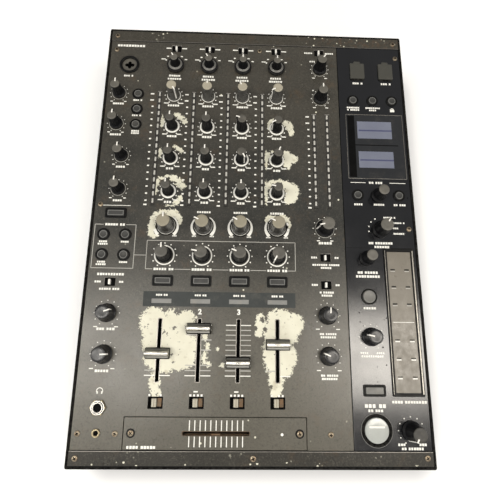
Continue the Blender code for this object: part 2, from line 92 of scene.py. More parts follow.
CROSS_X, CROSS_Y = middle("crossfader")
ON_X, ON_Y = middle("fx_on_button")
FADER_Y = -121.1
FADER_TRAVEL = 45.0
BAND_Y = -75.0
ASSIGN_Y = -166.6
JACK_Y, MINI_Y = -170.9, -191.8
RAIL_Y = 206.1  # where the faceplate ends and the end rails begin

# Keys, by the middles of their caps.
MIC_KEYS = [(middle("mic_keys")[0], LEVEL_Y + 0.6 - 17.9 * n) for n in range(3)]
SWEEP_KEYS = [(LEFT_X + dx, y) for dx in (-10.0, 10.8) for y in (-13.4, -33.4)]
FX_KEYS = [(FX_X + 21.0 * n, LEVEL_Y) for n in (-1, 0, 1)] + [(FX_X + 21.0 * n, LOW_Y) for n in (-1, 1)]
FILTER_KEY = (LEFT_X, 8.4)
TAP_KEY, QUANTIZE_KEY = (FX_LEFT_X, -70.2), (FX_LEFT_X, -155.1)
CUE_KEYS = [(x, CUE_Y) for x in CHANNELS]
KEY_RADIUS, TAP_RADIUS = 4.3, 6.2
BAR_KEY, CUE_KEY = (16.4, 6.2), (15.4, 6.4)

# Slide switches: five at the rear, then split cue, channel fader start and crossfader start.
SWITCH_Y, SPLIT_CUE_Y, START_Y = 197.8, -59.6, -59.7
REAR_SWITCHES = [(x, SWITCH_Y) for x in (*CHANNELS, MASTER_X)]
SIDE_SWITCHES = [(LEFT_X, SPLIT_CUE_Y), (MASTER_X, SWEEP_Y), (MASTER_X, START_Y)]
SMALL_SWITCHES = REAR_SWITCHES + SIDE_SWITCHES

# Level meters, as the middle of each and its number of lights.
METER_FRONT, METER_PITCH, FIRST_LIGHT = 17.2, 7.45, 22.2
LONG_METER, SHORT_METER = 17, 14
METERS = [(x - 15.0, LONG_METER) for x in CHANNELS]
METERS += [(MASTER_X + side, SHORT_METER) for side in (-7.6, 6.2)]

# The effects panel's openings as (left, right, front, back), and the ports under their covers.
DISPLAY = (95.6, 155.2, 50.8, 123.2)
STRIP = (125.7, 155.2, -160.2, -23.0)
USB_PORTS = [(110.0, 175.4), (140.9, 175.4)]

# Openings, by radius or by width and length.
SHAFT_HOLE, KEY_HOLE, TAP_HOLE, ON_HOLE = 4.2, 5.0, 6.9, 11.7
BAR_HOLE, SWITCH_HOLE, ASSIGN_HOLE, PORT_HOLE = (17.4, 8.0), (10.0, 7.6), (12.0, 9.0), (13.0, 13.0)
FADER_SLOT, CROSS_SLOT, METER_WIDTH = (3.0, 55.8), (58.7, 3.0), 4.0
SOCKET_HOLE, JACK_HOLE, MINI_HOLE = 10.0, 5.6, 3.4

# Where the paint has worn off: a point, then ellipses round it as (x, y, half width, half length).
X1, X4 = CHANNELS[0], CHANNELS[3]
WORN_PLACES = (
    ((X1, HIGH_Y), (
        (-10.6, 6.0, 1.8, 6.5), (5.0, 13.0, 3.4, 2.7), (8.6, 9.8, 3.8, 3.0), (12.3, 5.8, 3.0, 3.4),
    )),
    ((X1, MID_Y), (
        (-10.8, 5.5, 1.7, 6.0), (4.6, 12.8, 2.8, 2.1), (8.2, 9.8, 3.0, 2.3), (11.0, 7.2, 2.1, 2.1),
    )),
    ((X1, LOW_Y), (
        (-12.3, 1.0, 1.5, 5.5), (-11.0, 9.0, 2.2, 4.0), (-7.0, 13.8, 3.4, 2.1), (-1.0, 16.0, 4.6, 1.6),
        (5.0, 14.0, 4.2, 3.7), (9.5, 10.5, 4.6, 4.2), (13.5, 6.0, 3.8, 3.5), (12.0, -8.0, 3.0, 3.0),
        (9.0, -11.8, 3.7, 2.5), (3.0, -15.3, 5.2, 1.1),
    )),
    ((X1, FILTER_Y), (
        (-13.8, -1.0, 3.6, 6.2), (-12.5, 6.0, 3.2, 4.6), (-9.5, 10.8, 3.5, 3.5), (-4.0, 14.0, 4.5, 2.9),
        (2.5, 14.4, 4.3, 2.7), (7.5, 12.7, 4.1, 3.0), (11.5, 9.0, 3.2, 3.8), (13.2, 4.5, 2.1, 3.6),
        (-14.5, -7.0, 3.0, 2.6), (-11.0, -10.5, 4.2, 1.8), (0.0, 9.5, 7.0, 3.0),
    )),
    ((X4, HIGH_Y), (
        (9.5, 6.2, 3.2, 3.6), (13.5, 2.5, 4.2, 5.2), (15.5, -2.6, 3.2, 5.2), (-8.0, 3.5, 1.5, 4.2),
        (-5.2, 8.0, 2.2, 2.4), (-1.5, 10.4, 2.8, 1.3),
    )),
    ((X4, MID_Y), (
        (10.5, 6.0, 4.2, 4.8), (15.5, 2.0, 6.6, 4.8), (11.0, -3.6, 3.8, 5.6), (-10.6, 0.0, 1.6, 10.0),
        (-8.0, 6.0, 2.1, 3.7), (-4.5, 9.8, 2.9, 1.8),
    )),
    ((X4, LOW_Y), (
        (10.5, 8.5, 5.4, 5.4), (15.5, 3.5, 7.4, 8.0), (14.5, -3.2, 6.0, 6.6), (10.5, -8.2, 3.0, 3.8),
        (-10.8, -1.0, 1.8, 13.0), (-8.0, 7.5, 2.6, 3.8), (-3.0, 12.2, 4.8, 2.0), (3.0, 13.2, 4.5, 2.0),
    )),
    ((X4, FILTER_Y), (
        (-9.4, 7.8, 2.3, 3.0), (-5.5, 11.2, 3.2, 2.1), (5.5, 12.2, 3.3, 2.1), (9.7, 8.6, 2.8, 3.2),
        (12.2, 2.8, 1.6, 3.8),
    )),
    # between faders 1 and 2
    ((X1, 0.0), (
        (-5.0, -98.0, 13.0, 14.5), (11.0, -98.0, 13.0, 13.5), (22.5, -93.0, 9.5, 7.0),
        (-1.0, -115.0, 14.0, 14.0), (15.0, -115.0, 14.0, 17.0), (27.0, -121.0, 7.5, 15.0),
        (21.0, -131.0, 10.0, 7.5), (-3.0, -127.0, 9.5, 11.5), (7.0, -134.0, 8.5, 7.5),
        (-2.0, -150.0, 5.0, 9.0), (0.0, -157.5, 4.6, 5.0), (42.0, -108.0, 2.2, 5.0),
        (44.0, -118.0, 1.7, 4.0), (42.0, -128.0, 2.5, 6.0), (46.0, -134.0, 2.0, 3.0),
        (53.5, -119.5, 1.9, 1.5), (58.0, -134.5, 2.2, 2.4),
    )),
    # round fader 4
    ((X4, 0.0), (
        (2.4, -93.0, 12.0, 10.0), (14.4, -97.0, 9.2, 9.2), (-1.6, -104.0, 11.0, 12.0),
        (9.4, -106.0, 10.5, 12.0), (1.4, -118.0, 14.0, 11.5), (9.4, -125.0, 8.5, 13.5),
        (-6.6, -126.0, 6.5, 12.0), (2.4, -135.0, 11.5, 9.5), (-1.6, -147.0, 6.7, 9.0),
        (-1.6, -156.5, 5.2, 5.0), (-15.6, -96.0, 4.6, 8.5), (-17.6, -106.0, 3.2, 3.6),
    )),
)
WORN = [(x + dx, y + dy, rx, ry) for (x, y), spots in WORN_PLACES for dx, dy, rx, ry in spots]
WORN_HOLES = [
    (X1 + 15.5, -87.0, 4.2, 2.4), (X4 - 14.0, -94.0, 2.4, 3.4),
    (X4 - 11.5, -102.0, 2.2, 2.6), (X1 + 14.0, -101.5, 2.2, 2.0),
]


def meter_back(lights):
    return FIRST_LIGHT + METER_PITCH * (lights - 1) + 3.0


def is_worn(x, y):
    def depth(shapes):
        return max(1 - math.hypot((x - cx) / rx, (y - cy) / ry) for cx, cy, rx, ry in shapes)

    return depth(WORN) > 0.12 and depth(WORN_HOLES) < 0.2


# ------------------------------------------------------------------ materials
class Paint:
    """One material and the nodes that make it up."""

    def __init__(self, name):
        self.material = bpy.data.materials.new(name)
        self.material.use_nodes = True
        self.tree = self.material.node_tree
        self.shader = self.tree.nodes["Principled BSDF"]
        self.where = self.node("ShaderNodeTexCoord").outputs["Object"]
        chance = self.node("ShaderNodeObjectInfo").outputs["Random"]
        shift = self.vector("SCALE", (0.31, 0.17, 0.23), Scale=chance)
        self.place = self.vector("ADD", self.where, shift)

    def node(self, kind, feed=None, **settings):
        made = self.tree.nodes.new(kind)
        for key, value in settings.items():
            setattr(made, key, value)
        for key, value in (feed or {}).items():
            self.feed(made.inputs[key], value)
        return made

    def feed(self, socket, value):
        if isinstance(value, bpy.types.NodeSocket):
            self.tree.links.new(value, socket)
        else:
            socket.default_value = value

    def vector(self, operation, first, second=None, **more):
        made = self.node("ShaderNodeVectorMath", {0: first}, operation=operation)
        if second is not None:
            self.feed(made.inputs[1], second)
        for key, value in more.items():
            self.feed(made.inputs[key], value)
        return made.outputs["Value" if operation == "LENGTH" else "Vector"]

    def math(self, operation, first, second=0.0, clamp=False):
        made = self.node("ShaderNodeMath", {0: first, 1: second}, operation=operation, use_clamp=clamp)
        return made.outputs[0]

    def times(self, first, second):
        return self.math("MULTIPLY", first, second)

    def plus(self, first, second):
        return self.math("ADD", first, second)

    def minus(self, first, second):
        return self.math("SUBTRACT", first, second)

    def cells(self, scale):
        """Distance from the nearest of many scattered points."""
        return self.node("ShaderNodeTexVoronoi", {"Vector": self.where, "Scale": scale}).outputs["Distance"]

    def fixed(self, scale, detail, roughness=0.55):
        """Noise that is the same on every object."""
        return self.noise(scale, detail, self.where, roughness)

    def noise(self, scale, detail=3.0, vector=None, roughness=0.55):
        feed = {"Vector": vector or self.place, "Scale": scale, "Detail": detail, "Roughness": roughness}
        return self.node("ShaderNodeTexNoise", feed).outputs["Fac"]

    def step(self, value, low, high, to_low=0.0, to_high=1.0):
        feed = {"Value": value, "From Min": low, "From Max": high, "To Min": to_low, "To Max": to_high}
        return self.node("ShaderNodeMapRange", feed, interpolation_type="SMOOTHSTEP").outputs["Result"]

    def mix(self, share, first, second):
        made = self.node("ShaderNodeMix", data_type="RGBA")
        self.feed(made.inputs[0], share)
        for index, colour in ((6, first), (7, second)):
            self.feed(made.inputs[index], (*colour, 1.0) if isinstance(colour, tuple) else colour)
        return made.outputs[2]

    def bump(self, height, strength, distance=0.0002):
        feed = {"Height": height, "Strength": strength, "Distance": distance}
        self.feed(self.shader.inputs["Normal"], self.node("ShaderNodeBump", feed).outputs[0])

    def set(self, **values):
        for key, value in values.items():
            self.feed(self.shader.inputs[key.replace("_", " ")], value)


def shade(colour, factor):
    return tuple(min(1.0, channel * factor) for channel in colour)


DUST = (0.30, 0.27, 0.22)


def surface(name, colour, rough, dust, vary=0.2, grain=1400, bump=0.15, edge=0.0, coat=0.0, shine=0.5):
    """A plain finish with mottling, fine grain, dust in patches and worn edges."""
    paint = Paint(name)
    base = paint.mix(paint.noise(38), shade(colour, 1 - vary), shade(colour, 1 + vary))
    fine = paint.noise(grain, 2)
    base = paint.mix(paint.step(fine, 0.58, 0.75, 0.0, 0.35), base, shade(colour, 1.6))
    if dust:
        patches = paint.step(paint.noise(95, 6, roughness=0.7), 0.5, 0.72, 0.0, dust)
        base = paint.mix(patches, base, DUST)
    if edge:
        sharp = paint.node("ShaderNodeNewGeometry").outputs["Pointiness"]
        broken = paint.step(paint.noise(420, 4), 0.35, 0.6)
        worn = paint.times(paint.step(sharp, 0.51, 0.58), broken)
        base = paint.mix(paint.times(worn, edge), base, (0.42, 0.40, 0.36))
    paint.set(Base_Color=base, Specular_IOR_Level=shine, Coat_Weight=coat, Coat_Roughness=0.12)
    smudges = paint.noise(160, 4)
    paint.set(Roughness=paint.step(smudges, 0.2, 0.8, max(rough - 0.1, 0.02), min(rough + 0.12, 1.0)))
    paint.bump(fine, bump)
    return paint.material


def rubbed(paint, millimetres, speckle):
    """How bare the plate is: ragged ellipses, with flecks beyond their edges and islands of paint inside."""
    settings = {"Vector": paint.where, "Scale": 330.0, "Detail": 6.0, "Roughness": 0.7}
    jitter = paint.node("ShaderNodeTexNoise", settings).outputs["Color"]
    shove = paint.vector("SUBTRACT", jitter, (0.5, 0.5, 0.5))
    torn = paint.vector("ADD", millimetres, paint.vector("SCALE", shove, Scale=9.0))

    def away_from(shapes):
        """Distance from the nearest ellipse's centre, where 1 is its edge."""
        nearest = None
        for x, y, half_x, half_y in shapes:
            feed = {0: torn, 1: (1 / half_x, 1 / half_y, 0.0), 2: (-x / half_x, -y / half_y, 0.0)}
            scaled = paint.node("ShaderNodeVectorMath", feed, operation="MULTIPLY_ADD").outputs[0]
            away = paint.vector("LENGTH", scaled)
            nearest = away if nearest is None else paint.math("MINIMUM", nearest, away)
        return nearest

    rough_edge, big_edge = paint.fixed(150, 6, 0.75), paint.fixed(55, 3)
    flecks, islands = paint.fixed(520, 4, 0.6), paint.fixed(210, 4, 0.6)
    ragged = paint.plus(paint.times(rough_edge, 0.7), paint.times(big_edge, 0.6))
    ragged = paint.plus(ragged, paint.times(speckle, 1.1))
    edge = paint.plus(away_from(WORN), paint.minus(ragged, 1.2))
    patch = paint.step(edge, 1.05, 0.98)
    thrown = paint.minus(edge, paint.times(paint.step(flecks, 0.55, 0.75), 1.3))
    patch = paint.math("MAXIMUM", patch, paint.step(thrown, 0.98, 0.90))
    eaten = paint.plus(edge, paint.times(paint.step(islands, 0.55, 0.72), 0.75))
    patch = paint.math("MINIMUM", patch, paint.step(eaten, 1.12, 1.04))
    hole_edge = paint.plus(away_from(WORN_HOLES), paint.minus(rough_edge, 0.5))
    patch = paint.times(patch, paint.step(hole_edge, 0.85, 1.0))
    leftover = paint.step(paint.fixed(330, 5, 0.7), 0.645, 0.675)
    return paint.math("SUBTRACT", patch, leftover, clamp=True)


def chipped(paint, split):
    """The rear right corner of the end rails, and how bare they are: most at that corner and on the lips."""
    corner = paint.times(paint.step(split["X"], 20.0, 110.0), paint.step(split["Y"], 200.0, 210.0))
    lip = paint.step(paint.math("ABSOLUTE", split["Y"]), 213.5, 216.5, 0.0, 0.75)
    place = paint.plus(paint.math("MAXIMUM", corner, lip), paint.step(paint.fixed(42, 5), 0.5, 0.62))
    return corner, paint.times(paint.step(paint.cells(210.0), 0.26, 0.16), paint.step(place, 0.9, 1.2))


def plate_paint(name, worn):
    """Satin grey paint with stains, specks and scratches, bare where hands or knocks have taken it off. The
    worn plate is also painted lighter towards the front: a painted sheen.
    """
    paint = Paint(name)
    millimetres = paint.vector("SCALE", paint.where, Scale=1 / MM)
    split = paint.node("ShaderNodeSeparateXYZ", {0: millimetres}).outputs
    grain, speckle, stains = paint.fixed(2600, 2), paint.fixed(620, 5, 0.75), paint.fixed(17, 5, 0.65)
    base = paint.mix(paint.step(stains, 0.34, 0.66), (0.026, 0.026, 0.023), (0.040, 0.037, 0.030))
    # Towards the front the worn plate is painted much lighter: a painted sheen standing for glare on its
    # front half.
    front = (0.112, 0.102, 0.078) if worn else (0.034, 0.031, 0.026)
    for share, colour in (
        (paint.step(split["Y"], 60.0, 120.0, 0.0, 0.85), (0.052, 0.047, 0.037)),
        (paint.step(split["Y"], 0.0, -150.0, 0.0, 0.75), front),
        (paint.step(speckle, 0.53, 0.68, 0.0, 0.55), (0.13, 0.12, 0.095)),
        (paint.step(speckle, 0.47, 0.33, 0.0, 0.6), (0.012, 0.012, 0.010)),
        (paint.step(grain, 0.52, 0.75, 0.0, 0.5), (0.12, 0.115, 0.10)),
        (paint.step(grain, 0.48, 0.3, 0.0, 0.45), (0.012, 0.012, 0.011)),
        (paint.step(paint.fixed(60, 6, 0.7), 0.54, 0.74, 0.0, 0.45), (0.085, 0.058, 0.034)),
    ):
        base = paint.mix(share, base, colour)
    bare = paint.times(paint.step(paint.cells(95.0), 0.11, 0.06), paint.step(paint.fixed(23, 3), 0.53, 0.6))
    if worn:
        bare = paint.math("MAXIMUM", bare, rubbed(paint, millimetres, speckle))
    else:
        corner, chips = chipped(paint, split)
        bare = paint.math("MAXIMUM", bare, chips)
        rusty = paint.times(corner, paint.step(paint.fixed(240, 5), 0.5, 0.6, 0.0, 0.3))
        base = paint.mix(rusty, base, (0.11, 0.065, 0.04))
    primer = paint.mix(paint.fixed(70, 5), (0.58, 0.555, 0.43), (0.76, 0.745, 0.62))
    primer = paint.mix(paint.step(paint.fixed(120, 5), 0.58, 0.72, 0.0, 0.5), primer, (0.36, 0.31, 0.21))
    waves = {"Vector": paint.where, "Scale": 46.0, "Distortion": 26.0, "Detail": 4.0, "Detail Scale": 0.6}
    lines = paint.node("ShaderNodeTexWave", waves).outputs["Fac"]
    scratch = paint.times(paint.step(lines, 0.985, 1.0), paint.step(paint.fixed(9, 3), 0.5, 0.6))
    gloss = paint.plus(paint.step(stains, 0.3, 0.7, 0.27, 0.36), paint.times(bare, 0.25))
    paint.set(Base_Color=paint.mix(bare, base, primer), Specular_IOR_Level=0.47 if worn else 0.25)
    paint.set(Roughness=paint.minus(gloss, paint.times(scratch, 0.04)))
    height = paint.minus(paint.times(grain, 0.35), paint.times(bare, 0.8))
    paint.bump(paint.minus(height, paint.times(scratch, 0.08)), 0.28, 0.00018)
    return paint.material


def overlay_paint():
    """The glossy effects panel: deep blue-black with haze, pale flecks and a few specks of dirt."""
    paint = Paint("gloss_overlay")
    haze = paint.fixed(24, 5, 0.65)
    base = paint.mix(haze, (0.0015, 0.0017, 0.0026), (0.0055, 0.006, 0.008))
    base = paint.mix(paint.step(paint.fixed(900, 3), 0.6, 0.8, 0.0, 0.3), base, (0.035, 0.035, 0.034))
    dirt = paint.times(paint.step(paint.cells(170.0), 0.16, 0.08), paint.step(paint.fixed(14, 3), 0.55, 0.62))
    paint.set(Base_Color=base, Specular_IOR_Level=paint.minus(0.72, paint.times(dirt, 0.7)))
    paint.set(Roughness=paint.plus(paint.step(haze, 0.3, 0.7, 0.15, 0.22), paint.times(dirt, 0.3)))
    paint.bump(paint.fixed(1800, 3), 0.10, 0.0001)
    return paint.material


def brushed(name, colour, rough, along=(1.0, 40.0, 40.0), rust=0.0):
    """Metal with fine lines along one axis, and rust or tarnish in spots."""
    paint = Paint(name)
    stretched = paint.vector("MULTIPLY", paint.place, along)
    lines = paint.noise(90, 3, stretched)
    base = paint.mix(lines, shade(colour, 0.72), shade(colour, 1.12))
    blotches, shift = paint.noise(420, 5, roughness=0.7), 0.2 * rust
    spots = paint.step(blotches, 0.5 - shift, 0.68 - shift, 0.0, 0.25 + 0.7 * rust)
    base = paint.mix(spots, base, (0.16, 0.085, 0.04) if rust else shade(colour, 0.45))
    paint.set(Base_Color=base, Metallic=paint.step(spots, 0.2, 0.9, 1.0, 1.0 - 0.8 * rust))
    paint.set(Roughness=paint.step(lines, 0.2, 0.8, max(rough - 0.08, 0.05), rough + 0.14))
    paint.bump(lines, 0.12, 0.00008)
    return paint.material


def board_paint():
    """Green solder mask with lighter tracks, and black moulded parts above it."""
    paint = Paint("circuit_board")
    height = paint.node("ShaderNodeSeparateXYZ", {0: paint.where}).outputs["Z"]
    bricks = {"Vector": paint.where, "Scale": 130.0, "Mortar Size": 0.03}
    tracks = paint.node("ShaderNodeTexBrick", bricks).outputs["Fac"]
    green = paint.mix(paint.noise(40), (0.006, 0.075, 0.028), (0.014, 0.12, 0.045))
    green = paint.mix(paint.times(tracks, 0.5), green, (0.03, 0.2, 0.08))
    black = paint.mix(paint.noise(300), (0.012, 0.012, 0.013), (0.035, 0.034, 0.033))
    above = paint.step(height, 0.0641, 0.0643)
    paint.set(Base_Color=paint.mix(above, green, black), Roughness=paint.step(above, 0.0, 1.0, 0.32, 0.55))
    paint.bump(tracks, 0.15, 0.0001)
    return paint.material


def screen_paint():
    """A switched-off display under glass: cloudy blue-grey with faint pixel rows."""
    paint = Paint("display_screen")
    cloudy = paint.mix(paint.fixed(45, 3), (0.125, 0.135, 0.185), (0.185, 0.20, 0.25))
    waves = {"Vector": paint.where, "Scale": 520.0}
    rows = paint.node("ShaderNodeTexWave", waves, bands_direction="Y").outputs["Fac"]
    paint.set(Base_Color=paint.mix(paint.times(rows, 0.12), cloudy, (0.10, 0.11, 0.18)))
    paint.set(Roughness=paint.step(paint.noise(60), 0.2, 0.8, 0.14, 0.26))
    paint.set(Coat_Weight=0.6, Coat_Roughness=0.08)
    paint.bump(rows, 0.03, 0.00004)
    return paint.material


M = {
    "case": surface(
        "case_black", (0.009, 0.0088, 0.0085), 0.5, vary=0.1, grain=2200, bump=0.1, dust=0.02, shine=0.22
    ),
    "plate": plate_paint("plate_paint", True),
    "rail": plate_paint("rail_paint", False),
    "overlay": overlay_paint(),
    "edge": brushed("worn_edge", (0.34, 0.32, 0.29), 0.36),
    "knob": surface(
        "knob_black", (0.0035, 0.0036, 0.0045), 0.46, grain=1800, dust=0.02, edge=0.05, shine=0.18
    ),
    "gloss_knob": surface(
        "knob_gloss", (0.010, 0.010, 0.011), 0.30, grain=1800, bump=0.04, dust=0.03, coat=0.06, shine=0.4
    ),
    "grey_cap": surface("cap_grey", (0.092, 0.086, 0.072), 0.5, dust=0.14),
    "dark_cap": surface("cap_dark", (0.066, 0.062, 0.052), 0.5, dust=0.16),
    "tan_cap": surface("cap_tan", (0.235, 0.212, 0.155), 0.5, dust=0.14),
    "dim_cap": surface("cap_dim", (0.030, 0.028, 0.023), 0.5, dust=0.12),
    "beige_cap": surface("cap_beige", (0.335, 0.305, 0.235), 0.55, dust=0.1),
    "smoke": surface("body_smoke", (0.052, 0.050, 0.045), 0.30, dust=0.1, coat=0.2),
    "collar": surface("collar_grey", (0.120, 0.116, 0.104), 0.4, dust=0.1),
    "white": surface("pointer_white", (0.80, 0.78, 0.72), 0.5, vary=0.08, dust=0.1),
    "print": surface("print_white", (0.80, 0.79, 0.73), 0.55, vary=0.12, dust=0.22),
    "print_dim": surface("print_grey", (0.40, 0.39, 0.355), 0.55, vary=0.14, dust=0.25),
    "led": surface("light_segment", (0.46, 0.45, 0.41), 0.3, vary=0.25, dust=0.3),
    "lens": surface("lens_dark", (0.030, 0.028, 0.025), 0.22, vary=0.3, dust=0.12),
    "key": surface("key_grey", (0.040, 0.040, 0.038), 0.5, dust=0.10, shine=0.3),
    "pale_key": surface("key_pale", (0.130, 0.126, 0.114), 0.4, dust=0.12),
    "key_mark": surface("key_mark", (0.16, 0.16, 0.15), 0.5, dust=0.2),
    "rim": surface("rim_black", (0.0015, 0.0015, 0.0015), 0.7, grain=2000, dust=0.01, edge=0.05, shine=0.04),
    "bezel": surface("bezel_black", (0.004, 0.004, 0.004), 0.42, grain=2000, dust=0.03, shine=0.16),
    "band": surface("band_film", (0.036, 0.040, 0.039), 0.5, vary=0.25, dust=0.10, shine=0.25),
    "bar": surface("band_bar", (0.19, 0.19, 0.18), 0.45, vary=0.25, dust=0.3),
    "metal": brushed("nickel", (0.62, 0.60, 0.56), 0.24),
    "gold": brushed("brass", (0.40, 0.34, 0.22), 0.34, rust=0.05),
    # The fader's ridge and slope: one metal, the ridge painted light as a highlight and the slope painted
    # dark as shade.
    "fader": brushed("fader_ridge_painted_highlight", (0.78, 0.75, 0.68), 0.30, along=(1.0, 14.0, 14.0)),
    "bevel": brushed("fader_bevel_painted_shade", (0.30, 0.29, 0.26), 0.38, along=(1.0, 14.0, 14.0)),
    "screw": brushed("screw_steel", (0.36, 0.31, 0.23), 0.42, rust=0.38),
    "rust": brushed("rusty_steel", (0.13, 0.10, 0.07), 0.5, rust=0.45),
    "rubber": surface("rubber_black", (0.026, 0.026, 0.026), 0.72, grain=1500, bump=0.3, dust=0.2),
    "cover": surface("cover_rubber", (0.054, 0.053, 0.045), 0.6, vary=0.1, grain=1500, dust=0.05, shine=0.3),
    "glass": surface("display_glass", (0.012, 0.013, 0.015), 0.12, vary=0.3, bump=0.02, dust=0.05, coat=0.5),
    "screen": screen_paint(),
    "line": surface("screen_line", (0.055, 0.060, 0.125), 0.4, dust=0.05),
    "strip": surface("strip_film", (0.155, 0.138, 0.110), 0.34, vary=0.14, dust=0.2),
    "chrome": brushed("strip_bevel", (0.38, 0.36, 0.32), 0.40, along=(40.0, 1.0, 40.0)),
    "button": surface("button_lens", (0.385, 0.40, 0.375), 0.20, vary=0.07, bump=0.03, dust=0.06, coat=0.4),
    "dark": surface("deep_black", (0.002, 0.002, 0.002), 0.8, dust=0.0, shine=0.1),
    "actuator": surface("switch_tip", (0.40, 0.37, 0.29), 0.4, dust=0.2),
    "plastic": surface("socket_plastic", (0.020, 0.020, 0.021), 0.45, dust=0.08),
    "red": surface("socket_red", (0.30, 0.012, 0.012), 0.42, dust=0.08),
    "pale": surface("socket_white", (0.62, 0.61, 0.58), 0.42, dust=0.12),
    "board": board_paint(),
    "can": brushed("folded_steel", (0.52, 0.53, 0.54), 0.34),
}


# ------------------------------------------------------------------ shapes
CORNER_STEPS, ARC_STEPS = 4, 14


def circle(x, y, radius, z, count):
    angles = [TAU * i / count for i in range(count)]
    return [(x + radius * math.cos(angle), y + radius * math.sin(angle), z) for angle in angles]


def rounded(x, y, width, length, radius, z):
    """A rectangle with round corners, centred on a point of the plan."""
    points = []
    for quarter, (sx, sy) in enumerate(((1, 1), (-1, 1), (-1, -1), (1, -1))):
        corner_x, corner_y = x + sx * (width / 2 - radius), y + sy * (length / 2 - radius)
        for i in range(CORNER_STEPS + 1):
            angle = TAU / 4 * (quarter + i / CORNER_STEPS)
            points.append((corner_x + radius * math.cos(angle), corner_y + radius * math.sin(angle), z))
    return points


def loft(bm, rings, mats=0, closed=False):
    """Skins a stack of rings into one closed shell. mats is one material index, or one for each band."""
    rows = [[bm.verts.new(Vector(point) * MM) for point in ring] for ring in rings]
    bands = list(zip(rows, rows[1:])) + ([(rows[-1], rows[0])] if closed else [])
    mats = [mats] * len(bands) if isinstance(mats, int) else mats
    count = len(rows[0])
    for (lower, upper), index in zip(bands, mats):
        for i in range(count):
            after = (i + 1) % count
            face = bm.faces.new((lower[i], lower[after], upper[after], upper[i]))
            face.material_index, face.smooth = index, True
    if not closed:
        bm.faces.new(rows[0][::-1]).material_index = mats[0]
        bm.faces.new(rows[-1]).material_index = mats[-1]


def lathe(bm, x, y, profile, mats=0, count=32):
    loft(bm, [circle(x, y, radius, z, count) for radius, z in profile], mats)


def tube(bm, x, y, inner, outer, z0, z1, mats=0, count=32, chamfer=0.25):
    c = min(chamfer, (outer - inner) / 3)
    profile = ((inner, z0), (outer, z0), (outer, z1 - c), (outer - c, z1), (inner + c, z1), (inner, z1 - c))
    loft(bm, [circle(x, y, radius, z, count) for radius, z in profile], mats, closed=True)


def block(bm, x0, x1, y0, y1, z0, z1, mat=0):
    loft(bm, [[(x0, y0, z), (x1, y0, z), (x1, y1, z), (x0, y1, z)] for z in (z0, z1)], mat)


def slab(bm, x, y, width, length, z0, z1, radius, chamfer, mats=0):
    """A rounded block with a chamfered top."""
    loft(bm, [
        rounded(x, y, width, length, radius, z0),
        rounded(x, y, width, length, radius, z1 - chamfer),
        rounded(x, y, width - 2 * chamfer, length - 2 * chamfer, max(radius - chamfer, 0.1), z1),
    ], mats)


def frame_ring(bm, x, y, width, length, rim, z0, z1, radius, mats=0, chamfer=0.25):
    """A rounded rectangular frame."""
    inner_w, inner_l, inner_r = width - 2 * rim, length - 2 * rim, max(radius - rim, 0.2)
    sizes = (
        (inner_w, inner_l, inner_r, z0), (width, length, radius, z0), (width, length, radius, z1 - chamfer),
        (width - 2 * chamfer, length - 2 * chamfer, max(radius - chamfer, 0.1), z1),
        (inner_w + 2 * chamfer, inner_l + 2 * chamfer, inner_r, z1),
        (inner_w, inner_l, inner_r, z1 - chamfer),
    )
    loft(bm, [rounded(x, y, w, l, r, z) for w, l, r, z in sizes], mats, closed=True)


def arc(bm, x, y, start, end, inner, outer, z0, z1):
    """Part of a flat ring, in degrees clockwise from straight back. The outer radius may be (from, to)."""
    first, last = outer if isinstance(outer, tuple) else (outer, outer)
    rings = []
    for i in range(ARC_STEPS + 1):
        share = i / ARC_STEPS
        angle = math.radians(90 - start - (end - start) * share)
        far = first + (last - first) * share
        edges = ((inner, z0), (far, z0), (far, z1), (inner, z1))
        rings.append([(x + r * math.cos(angle), y + r * math.sin(angle), z) for r, z in edges])
    loft(bm, rings)


SHARP = math.radians(34)


def mesh_of(name, bm, mats=()):
    bmesh.ops.recalc_face_normals(bm, faces=bm.faces)
    mesh = bpy.data.meshes.new(name)
    bm.to_mesh(mesh)
    bm.free()
    for key in mats:
        mesh.materials.append(M[key])
    mesh.set_sharp_from_angle(angle=SHARP)
    return mesh


def show(name, data):
    made = bpy.data.objects.new(name, data)
    bpy.context.scene.collection.objects.link(made)
    return made


def worked_out(made):
    """The mesh of an object as it is after its modifiers, or of its text."""
    bpy.context.view_layer.update()
    return bpy.data.meshes.new_from_object(made.evaluated_get(bpy.context.evaluated_depsgraph_get()))


def piece(name, bm, mats, body="case", replaces=()):
    """Puts a finished shape in the scene, riding on a body."""
    made = show(name, mesh_of(name, bm, mats))
    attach(made, body)
    if replaces:
        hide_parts(*replaces)
    return made


def carve(made, cutter):
    """Cuts shapes out of a piece and keeps the result as its mesh."""
    tool = show("cutter", mesh_of("cutter", cutter))
    for material in made.data.materials:
        tool.data.materials.append(material)
    cut = made.modifiers.new("cut", "BOOLEAN")
    cut.operation, cut.solver, cut.object = "DIFFERENCE", "EXACT", tool
    mesh = worked_out(made)
    made.modifiers.clear()
    made.data = mesh
    bpy.data.objects.remove(tool)
    mesh.set_sharp_from_angle(angle=SHARP)


FLARE = 0.35  # how much wider an opening is at the very top


def cut_round(bm, x, y, radius, count=40):
    """A round opening through a plate, flared at its edge."""
    rings = ((radius, -4.0), (radius, -FLARE), (radius + FLARE, 0.0), (radius + FLARE, 2.0))
    loft(bm, [circle(x, y, r, TOP + z, count) for r, z in rings], 1)


def cut_block(bm, x, y, width, length, radius=0.5):
    """The same with a rectangle."""
    rings = ((0.0, -4.0), (0.0, -FLARE), (FLARE, 0.0), (FLARE, 2.0))
    loft(bm, [rounded(x, y, width + 2 * g, length + 2 * g, radius + g, TOP + z) for g, z in rings], 1)


